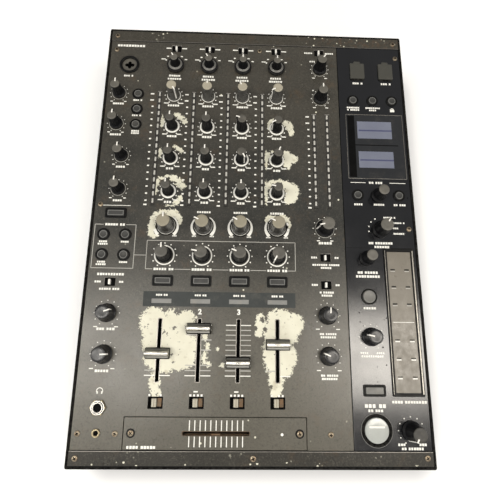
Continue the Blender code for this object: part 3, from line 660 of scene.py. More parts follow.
# ------------------------------------------------------------------ the case and its plates
def make_case():
    """The folded shell: hollow, open under the plates, with vent slots and a seam near the bottom."""
    wide, deep = CASE_HIGH.x - CASE_LOW.x, CASE_HIGH.y - CASE_LOW.y
    wall, floor, seat = 2.0, 6.0, TOP - SHEET - 0.3
    inner_x, inner_y, opening_y = wide / 2 - wall, deep / 2 - wall, RAIL_Y - 0.5
    bm = bmesh.new()
    outline = ((0.6, floor), (0.0, floor + 0.6), (0.0, TOP - 0.6), (0.5, TOP - 0.1))
    loft(bm, [rounded(0, 0, wide - 2 * g, deep - 2 * g, 1.6 - g, z) for g, z in outline])
    shell = piece("case_shell", bm, ["case"], replaces=("chassis",))
    cut = bmesh.new()
    block(cut, -inner_x, inner_x, -inner_y, inner_y, floor + wall, seat - wall)
    block(cut, -inner_x, inner_x, -opening_y, opening_y, seat, TOP + 3)
    carve(shell, cut)
    cut = bmesh.new()
    block(cut, 5 - inner_x, inner_x - 5, 5 - opening_y, opening_y - 5, seat - 4, seat + 1)
    for side in (-1, 1):
        for n in range(9):
            x, y = side * (inner_x + 1), 150 - 12 * n
            block(cut, x - 3, x + 3, y - 1.6, y + 1.6, 34, 58)
    seam = [(0.5, 13.0), (-1.0, 13.0), (-1.0, 13.7), (0.5, 13.7)]
    loft(cut, [rounded(0, 0, wide - 2 * g, deep - 2 * g, 1.6, z) for g, z in seam], closed=True)
    carve(shell, cut)
    bm = bmesh.new()
    frame_ring(bm, 0, 0, wide + 1.0, deep + 1.0, 2.5, TOP - 2.0, TOP + 0.12, 1.8, 0, 0.3)
    piece("case_rim", bm, ["rim"])


def make_rails():
    """The strips in front of and behind the plates."""
    bm = bmesh.new()
    for side, outer_y in ((1, 219.4), (-1, 217.8)):
        slab(bm, 0, side * (RAIL_Y + outer_y) / 2, 316.6, outer_y - RAIL_Y, TOP - 0.8, TOP, 0.5, 0.25)
        slab(bm, 0, side * (RAIL_Y + 0.15), 316.0, 0.45, TOP - 0.4, TOP + 0.05, 0.1, 0.05, 1)
    piece("end_rails", bm, ["rail", "edge"])


def make_feet():
    bm = bmesh.new()
    for x in (-132, 132):
        for y in (-188, 188):
            lathe(bm, x, y, ((10.5, 0.0), (11.8, 1.2), (12.0, 2.0), (11.2, 6.4), (0.6, 6.4)))
            lathe(bm, x, y, ((3.0, 0.4), (3.0, 1.6), (2.0, 1.7)), 1, 20)
    piece("rubber_feet", bm, ["rubber", "metal"])


def cut_shafts(cut, left, right):
    """A hole for each knob that stands between two lines."""
    for name, joint in JOINTS.items():
        if "pos_m" in joint:
            x, y = axis_of(name)
            if left < x < right:
                cut_round(cut, x, y, SHAFT_HOLE, 24)


def open_faceplate(cut):
    gap = 0.6
    left, right, back = CROSS_LOW.x - gap, CROSS_HIGH.x + gap, CROSS_HIGH.y + gap
    block(cut, left, right, PLATE_LOW.y - 5, back, TOP - 5, TOP + 2)
    cut_shafts(cut, CASE_LOW.x, PLATE_HIGH.x)
    for x, y in MIC_KEYS + SWEEP_KEYS:
        cut_round(cut, x, y, KEY_HOLE)
    for x, y in [FILTER_KEY, *CUE_KEYS]:
        cut_block(cut, x, y, *BAR_HOLE)
    for x in CHANNELS:
        cut_block(cut, x, FADER_Y, *FADER_SLOT, 0.9)
        cut_block(cut, x, ASSIGN_Y, *ASSIGN_HOLE, 0.4)
    for x, y in SMALL_SWITCHES:
        cut_block(cut, x, y, *SWITCH_HOLE, 0.4)
    for x, lights in METERS:
        back = meter_back(lights)
        cut_block(cut, x, (METER_FRONT + back) / 2, METER_WIDTH, back - METER_FRONT, 0.3)
    cut_round(cut, LEFT_X, INPUT_Y, SOCKET_HOLE, 48)
    cut_round(cut, LEFT_X, JACK_Y, JACK_HOLE)
    cut_round(cut, LEFT_X, MINI_Y, MINI_HOLE)


def open_fader_plate(cut):
    cut_block(cut, CROSS_X, CROSS_Y, *CROSS_SLOT, 1.2)


def open_overlay(cut):
    cut_shafts(cut, FX_LOW.x, CASE_HIGH.x)
    for x, y in FX_KEYS:
        cut_round(cut, x, y, KEY_HOLE)
    cut_round(cut, *TAP_KEY, TAP_HOLE)
    cut_round(cut, ON_X, ON_Y, ON_HOLE, 56)
    cut_block(cut, *QUANTIZE_KEY, *BAR_HOLE)
    left, right, front, back = DISPLAY
    block(cut, left, right, front, back, TOP - 1.0, TOP + 2, 1)
    for x, y in USB_PORTS:
        cut_block(cut, x, y, *PORT_HOLE)
    groove = -22.5
    block(cut, FX_LOW.x + 1, FX_HIGH.x - 1, groove - 0.2, groove + 0.2, TOP - 0.3, TOP + 2, 1)


def make_plate(name, node, low, high, mats, slot, cut_openings):
    """A sheet between two corners, in place of a node, with its openings."""
    bm = bmesh.new()
    centre, size = (low + high) / 2, high - low
    rings = ((0.0, TOP - SHEET), (0.0, TOP - 0.25), (0.25, TOP))
    loft(bm, [rounded(centre.x, centre.y, size.x - 2 * g, size.y - 2 * g, 0.6, z) for g, z in rings])
    made = piece(name, bm, mats, replaces=(node,))
    cut = bmesh.new()
    cut_openings(cut)
    carve(made, cut)


def make_plates():
    painted, glossy = (["plate", "edge"], "face_paint"), (["overlay", "bezel"], "gloss_panel")
    make_plate("top_plate", "faceplate", PLATE_LOW, PLATE_HIGH, *painted, open_faceplate)
    make_plate("fader_plate", "crossfader_plate", CROSS_LOW, CROSS_HIGH, *painted, open_fader_plate)
    make_plate("fx_overlay", "fx_panel", FX_LOW, FX_HIGH, *glossy, open_overlay)


# ------------------------------------------------------------------ knobs
# Style: radius of the foot and of the top, height, body, cap, whether ribbed, how far the pointer stands out
STYLES = {
    "selector": (9.0, 3.8, 15.0, "knob", "grey_cap", False, 1.9),
    "level": (6.4, 4.9, 19.0, "smoke", "beige_cap", False, 1.6),
    "tone": (5.8, 4.4, 18.5, "knob", "dark_cap", True, 2.2),
    "filter": (8.6, 6.2, 19.0, "smoke", "tan_cap", True, 2.0),
    "dark_filter": (8.6, 6.2, 19.0, "knob", "grey_cap", True, 1.8),
    "dim_filter": (8.6, 6.2, 19.0, "knob", "dim_cap", True, 0.6),
    "sweep": (7.6, 6.0, 19.0, "knob", "dark_cap", True, 2.2),
    "microphone": (6.4, 4.6, 16.5, "knob", "grey_cap", True, 2.2),
    "output": (7.2, 4.8, 17.5, "knob", "grey_cap", True, 2.2),
    "wide": (8.6, 6.6, 14.0, "gloss_knob", "gloss_knob", False, 0.0),
    "encoder": (7.4, 5.2, 17.5, "knob", "grey_cap", True, 0.0),
}
SIDES = 42  # of every knob, three to a rib


def knob_style(name):
    for word, style in (
        ("input_select", "selector"), ("mic_", "microphone"), ("filter", "filter"), ("sweep", "sweep"),
        ("headphone", "wide"), ("contour", "wide"), ("frequency", "wide"), ("effect_assign", "dark_filter"),
        ("booth", "dark_filter"), ("amount", "dim_filter"), ("master", "output"), ("balance", "output"),
        ("effect_select", "encoder"), ("effect_time", "encoder"),
    ):
        if word in name:
            return style
    return "level" if "level" in name else "tone"


def knob_profile(style):
    """(radius, height, material, ribbed) from the shaft's foot to the middle of the top."""
    foot, top, height, *_ = STYLES[style]
    waist = top + 0.35 * (foot - top)
    cap = height - 1.2
    shaft = [(3.0, -13.0, 0, 0), (3.0, 0.5, 0, 0), (foot - 0.5, 0.5, 0, 0), (foot, 0.9, 0, 0)]
    if style == "selector":
        body = [
            (foot, 3.3, 0, 0), (foot - 0.5, 3.9, 0, 0), (7.4, 3.9, 0, 0), (7.1, 4.2, 3, 0), (5.9, 4.7, 3, 0),
            (5.5, 4.9, 3, 0), (5.1, 5.0, 0, 0), (4.8, 6.4, 0, 0), (4.2, 9.0, 0, 0),
        ]
    elif style == "wide":
        body = [(foot, 1.9, 0, 0), (8.3, 2.3, 0, 0), (7.9, 2.6, 0, 0), (7.5, 5.0, 0, 0), (7.0, 9.0, 0, 0)]
    else:
        body = [
            (foot, 2.4, 0, 0), (foot - 0.5, 3.0, 0, 0), (waist + 0.3, 3.5, 0, 1), (waist, 4.6, 0, 1),
            ((waist + top) / 2, (4.6 + cap) / 2, 0, 1),
        ]
    upper = [(top + 0.15, cap - 0.6, 0, 1), (top + 0.1, cap, 0, 0), (top, height - 0.7, 0, 0)]
    crown = [(top - 0.2, height - 0.25, 1, 0), (top - 0.75, height, 1, 0), (top * 0.55, height - 0.2, 1, 0)]
    return shaft + body + upper + crown


def knob_body(bm, style):
    """The turned body. A ribbed one has a groove on every third of its sides."""
    profile, has_ribs = knob_profile(style), STYLES[style][5]
    rings = []
    for radius, z, _, ribbed in profile:
        ring = []
        for i in range(SIDES):
            depth = 0.38 if has_ribs and ribbed and i % 3 == 0 else 0.0
            angle = TAU * (i + 1.5) / SIDES + TAU / 4
            ring.append(((radius - depth) * math.cos(angle), (radius - depth) * math.sin(angle), z))
        rings.append(ring)
    loft(bm, rings, [entry[2] for entry in profile[1:]])


def knob_pointer(bm, style):
    """A ridge that stands out from the side, and the white line along its back."""
    foot, top, height, *_, reach = STYLES[style]
    nose, inside = top + reach, top - 1.2
    heel = (5.2, 7.2) if style == "selector" else (foot + 0.25, 3.6)
    outer = [
        (0.55 * top, height + 0.12), (top, height + 0.2), (nose - 0.3, height - 0.3), (nose, height - 1.0),
        (nose - 0.2, height - 2.6), (max(top + 0.9, nose - 0.9), height - 4.5), heel,
    ]
    inner = [
        (0.5 * top, height - 1.2), (inside, height - 1.2), (inside, height - 1.6), (inside, height - 2.0),
        (inside, height - 3.4), (top - 1.0, height - 5.0), (heel[0] - 2.2, heel[1] - 0.2),
    ]
    ridge, line = (1.55, 0.961, -0.15, 0, 1), (0.62, 0.62, 0.12, 2, 0)
    for half_in, half_out, rise, mat, first in (ridge, line):
        rows = []
        for (r, z), near in zip(outer[first:], inner[first:]):
            far = (r + rise, z + rise / 2)
            rows.append([(-half_in, *near), (half_in, *near), (half_out, *far), (-half_out, *far)])
        loft(bm, rows, mat)


def knob_line(bm, style):
    """The white line over the edge of a knob without a pointer, down to half its height."""
    _, top, height, *_ = STYLES[style]
    path = [
        (0.2 * top, height - 0.1), (top - 0.9, height + 0.02), (top - 0.15, height - 0.4),
        (top + 0.1, height - 1.0),
    ]
    path += [(r, z) for r, z, *_ in reversed(knob_profile(style)) if height / 2 < z < height - 1.2]
    half, rows = 0.6, []
    for r, z in path:
        near, far = (r - 0.5, z - 0.5), (r + 0.14, z + 0.1)
        rows.append([(-half, *near), (half, *near), (half, *far), (-half, *far)])
    loft(bm, rows, 2)


def make_knob_mesh(style):
    bm = bmesh.new()
    knob_body(bm, style)
    *_, body_paint, cap_paint, _, reach = STYLES[style]
    if reach:
        knob_pointer(bm, style)
    elif style == "wide":
        knob_line(bm, style)
    return mesh_of(f"{style}_knob", bm, [body_paint, cap_paint, "white", "collar"])


def make_knobs():
    meshes = {}
    for name, joint in JOINTS.items():
        if "pos_m" not in joint or not name.endswith("_knob"):
            continue
        style = knob_style(name)
        if style not in meshes:
            meshes[style] = make_knob_mesh(style)
        made = show(f"{name}_fine", meshes[style])
        made.location = Vector((*axis_of(name), TOP)) * MM
        made.rotation_euler.z = math.radians(turn_of(name))
        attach(made, name)
        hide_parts(name)


# ------------------------------------------------------------------ faders
# A fader cap in three layers, each a side view as (half length, height), its half width and its paint. The
# ridge and the slope are one metal in two colours: the ridge painted light as a highlight, the slope painted
# dark as shade.
CAP_LAYERS = (
    (((4.6, 2.0), (5.0, 2.5), (5.0, 5.0), (4.5, 5.8), (3.9, 6.2)), 11.0, 0),
    (((4.3, 5.6), (4.0, 6.6), (2.6, 7.6), (1.9, 9.6), (1.8, 10.2)), 10.6, 4),
    (((1.8, 9.8), (1.75, 10.8), (1.6, 11.8), (1.2, 12.3), (0.7, 12.5)), 10.4, 1),
)


def cap_layer(bm, x, y, points, half_width, mat):
    """One layer of a fader cap, a little smaller at its two ends."""
    outline = [(-dy, z) for dy, z in points] + [(dy, z) for dy, z in reversed(points)]
    foot, full = points[0][1], half_width - 0.6
    rings = []
    for share, dx in ((0.86, -half_width), (1.0, -full), (1.0, full), (0.86, half_width)):
        rings.append([(x + dx, y + dy * share, TOP + foot + (z - foot) * share) for dy, z in outline])
    loft(bm, rings, mat)


def make_faders():
    for n in (1, 2, 3, 4):
        node = f"ch{n}_fader"
        x, y = middle(node)
        bm = bmesh.new()
        for layer in CAP_LAYERS:
            cap_layer(bm, x, y, *layer)
        block(bm, x - 0.8, x + 0.8, y - 4.0, y + 4.0, TOP - 16, TOP + 3.0, 3)
        mats = ["bezel", "fader", "white", "metal", "bevel"]
        piece(f"{node}_cap", bm, mats, node, (node,))
    bm = bmesh.new()
    slab(bm, CROSS_X, CROSS_Y, 8.0, 1.6, TOP - 16, TOP + 3.0, 0.3, 0.3)
    piece("crossfader_stem", bm, ["rust"], "crossfader", ("crossfader",))


def make_dust_strips():
    """The strips seen through the fader slots, slit for the stems."""
    low, high = TOP - 5.4, TOP - 5.0
    bm, cut = bmesh.new(), bmesh.new()
    for x in CHANNELS:
        block(bm, x - 4.0, x + 4.0, FADER_Y - 32, FADER_Y + 32, low, high)
        block(cut, x - 1.1, x + 1.1, FADER_Y - 28, FADER_Y + 28, low - 1.6, high + 2)
    block(bm, CROSS_X - 33, CROSS_X + 33, CROSS_Y - 4, CROSS_Y + 4, low, high, 1)
    block(cut, CROSS_X - 29.4, CROSS_X + 29.4, CROSS_Y - 1.1, CROSS_Y + 1.1, low - 1.6, high + 2)
    carve(piece("fader_dust_strips", bm, ["dark", "rust"]), cut)


# ------------------------------------------------------------------ keys and switches
def round_key(bm, x, y, radius, mat=0):
    profile = [(radius - 0.3, -4.0), (radius, -3.6), (radius, 0.8), (radius - 0.35, 1.3)]
    profile += [(radius - 0.9, 1.4), (radius * 0.6, 1.05)]
    lathe(bm, x, y, [(r, TOP + z) for r, z in profile], mat)
    tube(bm, x, y, radius - 1.15, radius - 0.65, TOP + 1.0, TOP + 1.5, 1, 36, 0.05)


def bar_key(bm, x, y, width, length, mat):
    slab(bm, x, y, width, length, TOP - 4.0, TOP + 1.4, 0.8, 0.4, mat)
    frame_ring(bm, x, y, width - 1.2, length - 1.2, 0.55, TOP + 1.2, TOP + 1.5, 0.4, 1, 0.05)


def make_keys():
    bezels = bmesh.new()
    for node, rounds, bars in (
        ("mic_keys", MIC_KEYS, []),
        ("sweep_keys", SWEEP_KEYS, [(*FILTER_KEY, *BAR_KEY)]),
        ("cue_keys", [], [(*spot, *CUE_KEY) for spot in CUE_KEYS]),
        ("fx_keys", FX_KEYS, [(*QUANTIZE_KEY, *BAR_KEY)]),
    ):
        bm = bmesh.new()
        for x, y in rounds:
            round_key(bm, x, y, KEY_RADIUS)
            tube(bezels, x, y, KEY_RADIUS + 0.4, KEY_RADIUS + 1.8, TOP - 0.4, TOP + 0.9)
        for x, y, width, length in bars:
            bar_key(bm, x, y, width, length, 2 if node == "fx_keys" else 0)
            frame_ring(bezels, x, y, width + 4.2, length + 4.2, 1.8, TOP - 0.4, TOP + 1.0, 1.6)
        if node == "fx_keys":
            round_key(bm, *TAP_KEY, TAP_RADIUS, 2)
            tube(bezels, *TAP_KEY, TAP_RADIUS + 0.4, TAP_RADIUS + 1.5, TOP - 0.4, TOP + 0.9)
        piece(f"{node}_caps", bm, ["key", "key_mark", "pale_key"], node, (node,))
    piece("key_bezels", bezels, ["bezel"])


def make_on_button():
    bm = bmesh.new()
    profile = ((10.8, -4.1), (10.8, 0.6), (10.4, 1.1), (9.0, 1.35), (5.0, 1.4))
    lathe(bm, ON_X, ON_Y, [(r, TOP + z) for r, z in profile], count=56)
    # A white bar across the lens, raised a little: a painted highlight.
    slab(bm, ON_X, ON_Y + 3.0, 14.0, 1.7, TOP + 1.0, TOP + 1.52, 0.6, 0.05, 1)
    piece("on_button_lens", bm, ["button", "white"], "fx_on_button", ("fx_on_button",))
    bm = bmesh.new()
    tube(bm, ON_X, ON_Y, 11.1, 13.9, TOP - 0.3, TOP + 1.2, 0, 56, 0.6)
    tube(bm, ON_X, ON_Y, 13.7, 14.3, TOP - 0.2, TOP + 0.5, 1, 56, 0.05)
    piece("on_button_bezel", bm, ["rim", "key_mark"])


def pocket(bm, x, y, hole, top):
    """The dark box behind an opening."""
    half_x, half_y = hole[0] / 2 - 0.1, hole[1] / 2 - 0.1
    block(bm, x - half_x, x + half_x, y - half_y, y + half_y, TOP - 8.0, TOP + top)


def make_switches():
    bm = bmesh.new()
    for x, y in SMALL_SWITCHES:
        pocket(bm, x, y, SWITCH_HOLE, -1.6)
        slab(bm, x - 0.3, y, 1.9, 5.0, TOP - 2.0, TOP + 1.4, 0.4, 0.3, 1)
    y = ASSIGN_Y
    for x in CHANNELS:
        pocket(bm, x, y, ASSIGN_HOLE, -2.4)
        block(bm, x + 1.6, x + 5.2, y - 3.4, y + 3.6, TOP - 2.6, TOP - 1.2, 2)
        slab(bm, x - 1.2, y, 4.4, 7.2, TOP - 2.8, TOP + 0.9, 0.5, 0.5, 3)
        block(bm, x - 1.2, x - 0.9, y - 3.0, y + 3.0, TOP + 0.85, TOP + 0.98, 2)
        frame_ring(bm, x, y, 13.2, 10.2, 0.7, TOP - 0.3, TOP + 0.25, 0.5, 0, 0.1)
    piece("slide_switches", bm, ["dark", "white", "rust", "actuator"])


# ------------------------------------------------------------------ meters, display, touch strip
def make_meters():
    bm, lens = bmesh.new(), bmesh.new()
    half = METER_WIDTH / 2 - 0.1
    for x, lights in METERS:
        block(lens, x - half, x + half, METER_FRONT + 0.2, meter_back(lights) - 0.2, TOP - 1.8, TOP - 0.2)
        for n in range(lights):
            slab(bm, x, FIRST_LIGHT + METER_PITCH * n, 1.8, 4.6, TOP - 0.5, TOP - 0.08, 0.4, 0.08)
    piece("meter_windows", lens, ["lens"])
    piece("meter_segments", bm, ["led"])


def make_display():
    """One window over two screens, with a darker border at the left and a bar between them."""
    left, right, front, back = DISPLAY
    x, y = (left + right) / 2, (front + back) / 2
    wide, deep, border, bar = right - left, back - front, left + 8.6, 88.1
    bm = bmesh.new()
    slab(bm, x, y, wide - 0.4, deep - 0.4, TOP - 1.0, TOP - 0.1, 0.5, 0.15)
    frame_ring(bm, x, y, wide + 1.0, deep + 1.0, 0.6, TOP - 0.6, TOP + 0.25, 0.8, 1, 0.1)
    block(bm, left + 1.2, border, front + 1.2, back - 1.2, TOP - 0.3, TOP - 0.05, 2)
    block(bm, border, right - 6.0, bar - 0.5, bar + 0.5, TOP - 0.3, TOP - 0.05, 2)
    piece("display_window", bm, ["glass", "edge", "dark"])
    bm = bmesh.new()
    start, end = left + 11.4, right - 11.8
    for low, high in ((95.7, 115.4), (62.6, 80.9)):
        block(bm, start, end, low, high, TOP - 0.4, TOP - 0.02)
        line = low + (high - low) * 0.47
        block(bm, start + 1.4, end, line - 0.8, line + 0.8, TOP - 0.3, TOP + 0.01, 1)
        block(bm, end, right - 3.2, low - 1.0, low - 0.4, TOP - 0.3, TOP - 0.01, 2)
    piece("display_screens", bm, ["screen", "line", "glass"])


def make_strip():
    """The touch strip: its frame, then the pad with its rows of marks."""
    left, right, front, back = STRIP
    x, y, wide, deep = (left + right) / 2, (front + back) / 2, right - left, back - front
    bm = bmesh.new()
    frame_ring(bm, x, y, wide, deep, 3.0, TOP - 0.2, TOP + 1.4, 1.4, 0, 0.5)
    slab(bm, left + 1.0, y, 0.5, deep - 4, TOP + 1.2, TOP + 1.55, 0.2, 0.1, 1)
    slab(bm, right - 1.5, y, 1.2, deep - 4, TOP + 1.2, TOP + 1.55, 0.4, 0.15, 1)
    piece("strip_frame", bm, ["bezel", "chrome"])
    bm = bmesh.new()
    slab(bm, x, y, wide - 6.2, deep - 6.4, TOP - 0.2, TOP + 0.5, 0.5, 0.2)
    low, high = TOP + 0.3, TOP + 0.56
    for n in range(7):
        row = back - 23.5 - 16.5 * n
        if n == 3:
            block(bm, left + 4.6, right - 4.6, row + 1.8, row + 2.3, low, high, 2)
            continue
        upper, lower, mat = (3.3, 0.7, 3) if n < 3 else (2.8, 0.4, 2)
        for mark in (left + 7.9, right - 7.9):
            block(bm, mark - 2.2, mark + 2.2, row + 2.0, row + upper, low, high, 1)
            block(bm, mark - 2.2, mark + 2.2, row + lower, row + 1.5, low, high, mat)
    piece("touch_strip", bm, ["strip", "bezel", "print", "print_dim"])


def make_covers():
    bm = bmesh.new()
    for x, y in USB_PORTS:
        slab(bm, x, y + 0.4, 15.6, 18.6, TOP - 0.2, TOP + 1.8, 0.7, 0.4)
        slab(bm, x, y + 10.9, 7.0, 3.0, TOP - 0.2, TOP + 1.3, 0.8, 0.4)
        # A black strip along the front edge of each cover: a painted shadow under the raised cover.
        slab(bm, x, y - 9.6, 15.0, 2.2, TOP - 0.2, TOP + 0.5, 0.6, 0.2, 1)
        slab(bm, x, y, 11.0, 11.0, TOP - 3.0, TOP + 0.2, 0.4, 0.1)
    piece("port_covers", bm, ["cover", "rim"])


# ------------------------------------------------------------------ sockets and screws
def make_sockets():
    x, y = LEFT_X, INPUT_Y
    bm = bmesh.new()
    tube(bm, x, y, 7.9, 10.4, TOP - 0.4, TOP + 1.8, 0, 48, 0.7)
    lobes = []
    for i in range(48):
        angle = TAU * i / 48
        radius = 2.5 + 0.3 * math.cos(2 * angle) + 2.2 * abs(math.cos(2 * angle)) ** 0.9
        lobes.append((x + radius * math.cos(angle), y + radius * math.sin(angle)))
    outer = [circle(x, y, 8.0, TOP + z, 48) for z in (-6.0, -0.6)]
    inner = [[(*spot, TOP + z) for spot in lobes] for z in (-0.6, -6.0)]
    loft(bm, outer + inner, [1, 1, 2, 2], closed=True)
    lathe(bm, x, y, ((7.0, TOP - 6.4), (7.0, TOP - 6.0)), 2, 24)
    piece("combo_socket", bm, ["bezel", "grey_cap", "dark"])

    bm = bmesh.new()
    y = JACK_Y
    nut = ((6.9, -0.1), (7.2, 0.2), (7.2, 1.6), (6.7, 2.0))
    loft(bm, [circle(x, y, r, TOP + z, 6) for r, z in nut], 0)
    tube(bm, x, y, 3.7, 4.7, TOP + 1.6, TOP + 3.2, 1, 40, 0.3)
    tube(bm, x, y, 4.7, 5.1, TOP + 1.6, TOP + 2.3, 2, 40, 0.1)
    tube(bm, x, y, 5.1, 6.1, TOP + 1.6, TOP + 2.6, 1, 40, 0.3)
    lathe(bm, x, y, ((3.9, TOP + 1.9), (3.9, TOP + 2.2)), 2, 24)
    tube(bm, x, MINI_Y, 2.0, 3.7, TOP - 0.2, TOP + 1.4, 0, 32, 0.5)
    lathe(bm, x, MINI_Y, ((1.95, TOP + 0.1), (1.95, TOP + 0.5)), 2, 20)
    piece("headphone_sockets", bm, ["gold", "metal", "dark"])


def screw_mesh(radius):
    """A cross-headed screw seen from above, at the origin."""
    bm = bmesh.new()
    dome = ((1.0, -0.6), (1.0, 0.15), (0.9, 0.55), (0.62, 0.85), (0.25, 0.95))
    lathe(bm, 0, 0, [(radius * share, z) for share, z in dome], 0, 24)
    head = show("head", mesh_of("head", bm, ["screw", "dark"]))
    cut = bmesh.new()
    arm, thin = radius * 0.55, radius * 0.16
    points = [(arm, thin), (thin, thin), (thin, arm), (-thin, arm), (-thin, thin), (-arm, thin)]
    points += [(-px, -py) for px, py in points]
    # The cross's walls and floor take the near-black paint: painted shade in the recess.
    loft(cut, [[(px, py, z) for px, py in points] for z in (0.2, 2.0)], 1)
    carve(head, cut)
    mesh = head.data
    bpy.data.objects.remove(head)
    return mesh


TOP_SCREWS = (
    (3.5, 198.0), (-151.6, 194.2), (153.3, 193.7), (-152.3, 17.2), (153.1, -2.6), (-152.4, -192.2),
    (-120.1, -192.2), (68.4, -192.4), (-106.6, -191.7), (40.8, -191.8), (-152.4, -211.8), (0.0, -211.7),
    (152.9, -211.0), (-152.0, 212.0), (152.0, 212.0),
)
SUNK_SCREWS = TOP_SCREWS[8:10]  # those of the crossfader's plate


def make_screws():
    head = screw_mesh(2.6)
    bm = bmesh.new()

    def drive(x, y, z, facing=Matrix.Identity(4), turn=None):
        """Puts in one screw, by default turned at random."""
        turn = DICE.uniform(0, TAU) if turn is None else turn
        start = len(bm.verts)
        bm.from_mesh(head)
        bm.verts.ensure_lookup_table()
        place = Matrix.Translation(Vector((x, y, z)) * MM) @ facing @ Matrix.Rotation(turn, 4, "Z")
        bmesh.ops.transform(bm, matrix=place, verts=bm.verts[start:])

    for x, y in TOP_SCREWS:
        drive(x, y, TOP)
    for side in (-1, 1):
        for y, z in ((-195, 24), (195, 24), (-195, 76), (195, 76), (0, 76), (0, 24)):
            drive(side * CASE_HIGH.x, y, z, Matrix.Rotation(side * TAU / 4, 4, "Y"))
    for x in (-148, -50, 50, 148):
        for z in (20, 80):
            drive(x, CASE_HIGH.y, z, Matrix.Rotation(-TAU / 4, 4, "X"))
    for x in (-110, 0, 110):
        for y in (-150, 0, 150):
            drive(x, y, 6.0, Matrix.Rotation(TAU / 2, 4, "X"), 0.0)
    piece("screws", bm, ["screw", "dark"])
    bm = bmesh.new()
    # A flat black ring round each sunk screw: painted shade for the recess it sits in.
    for x, y in SUNK_SCREWS:
        tube(bm, x, y, 2.7, 3.9, TOP - 0.2, TOP + 0.08, 0, 28, 0.02)
    piece("screw_recesses", bm, ["bezel"])


# ------------------------------------------------------------------ the rear
# The connector panel is built lying flat, with its wall at 0, and then stood up.
REAR_MATS = ["plastic", "metal", "red", "pale", "dark", "knob"]
SUNK = -0.4
MAIN_ROW = 42


def rear_phono(bm, x, y, mat):
    slab(bm, x, y, 12.0, 13.0, SUNK, 2.0, 0.8, 0.4, 0)
    lathe(bm, x, y, ((5.0, 1.8), (5.0, 2.4), (4.6, 2.8)), mat, 24)
    tube(bm, x, y, 2.2, 4.0, 2.4, 8.6, 1, 24, 0.3)
    lathe(bm, x, y, ((1.5, 2.4), (1.5, 6.6), (1.0, 6.8)), mat, 16)


def rear_output(bm, x, y):
    """A round three-pin output."""
    tube(bm, x, y, 8.2, 12.0, SUNK, 2.6, 0, 40, 0.6)
    lathe(bm, x, y, ((8.4, SUNK), (8.4, 0.6)), 4, 32)
    for k in range(3):
        angle = TAU * k / 3 + TAU / 4
        pin_x, pin_y = x + 4 * math.cos(angle), y + 4 * math.sin(angle)
        lathe(bm, pin_x, pin_y, ((1.1, 0.4), (1.1, 2.0), (0.7, 2.3)), 1, 12)


def rear_jack(bm, x, y):
    loft(bm, [circle(x, y, r, z, 6) for r, z in ((7.2, SUNK), (7.2, 2.0), (6.7, 2.5))], 0)
    tube(bm, x, y, 3.25, 5.0, 2.0, 5.0, 1, 32, 0.4)
    lathe(bm, x, y, ((3.4, 2.2), (3.4, 2.6)), 4, 20)


def rear_port(bm, x, y, width, length):
    frame_ring(bm, x, y, width, length, 1.6, SUNK, 1.4, 0.6, 1)
    half_x, half_y = width / 2 - 1.6, length / 2 - 1.6
    block(bm, x - half_x, x + half_x, y - half_y, y + half_y, SUNK, 0.3, 4)


def rear_mains(bm, x, y):
    """The mains inlet with its three pins."""
    frame_ring(bm, x, y, 30, 24, 2.0, SUNK, 2.0, 2.5, 0, 0.5)
    block(bm, x - 13, x + 13, y - 10, y + 10, SUNK, 0.4, 4)
    for dx, dy in ((-7, -3), (7, -3), (0, 4)):
        slab(bm, x + dx, y + dy, 2.0, 5.5, 0.2, 5.5, 0.2, 0.3, 1)


def make_rear():
    bm = bmesh.new()
    for n in range(8):
        rear_phono(bm, 15.5 * n - 136, 34, 2)
        rear_phono(bm, 15.5 * n - 136, 53, 3)
    for x in (2, 32):
        rear_output(bm, x, MAIN_ROW)
    for x in (50, 66):
        rear_jack(bm, x, MAIN_ROW)
    for x, y, width, length in ((82, 32, 13, 12), (82, 50, 13, 12), (-136, 72, 17, 13), (-116, 72, 17, 13)):
        rear_port(bm, x, y, width, length)
    rear_mains(bm, 112, MAIN_ROW)
    frame_ring(bm, 143, MAIN_ROW, 16, 24, 1.6, SUNK, 1.8, 1.5, 0, 0.4)
    slab(bm, 143, MAIN_ROW, 12, 20, SUNK, 3.4, 0.6, 0.8, 5)
    for x in (-12, -22):
        lathe(bm, x, 74, ((3.4, SUNK), (3.4, 3.6), (3.0, 4.4), (3.0, 8.6), (2.4, 9.2)), 1, 20)
    mesh = mesh_of("rear_connectors", bm, REAR_MATS)
    mesh.transform(Matrix(((-1, 0, 0, 0), (0, 0, 1, CASE_HIGH.y * MM), (0, 1, 0, 0), (0, 0, 0, 1))))
    made = show("rear_connectors", mesh)
    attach(made, "case")


# ------------------------------------------------------------------ print
INK_LOW, INK_HIGH = TOP - 0.05, TOP + 0.10

# The printed boxes round the sweep keys and the sweep knobs, as (left, right, front, back).
SWEEP_BOX = (-155.5, -116.0, -46.5, -3.4)
CHANNEL_BOX = (-104.2, 39.2, -46.7, -18.7)


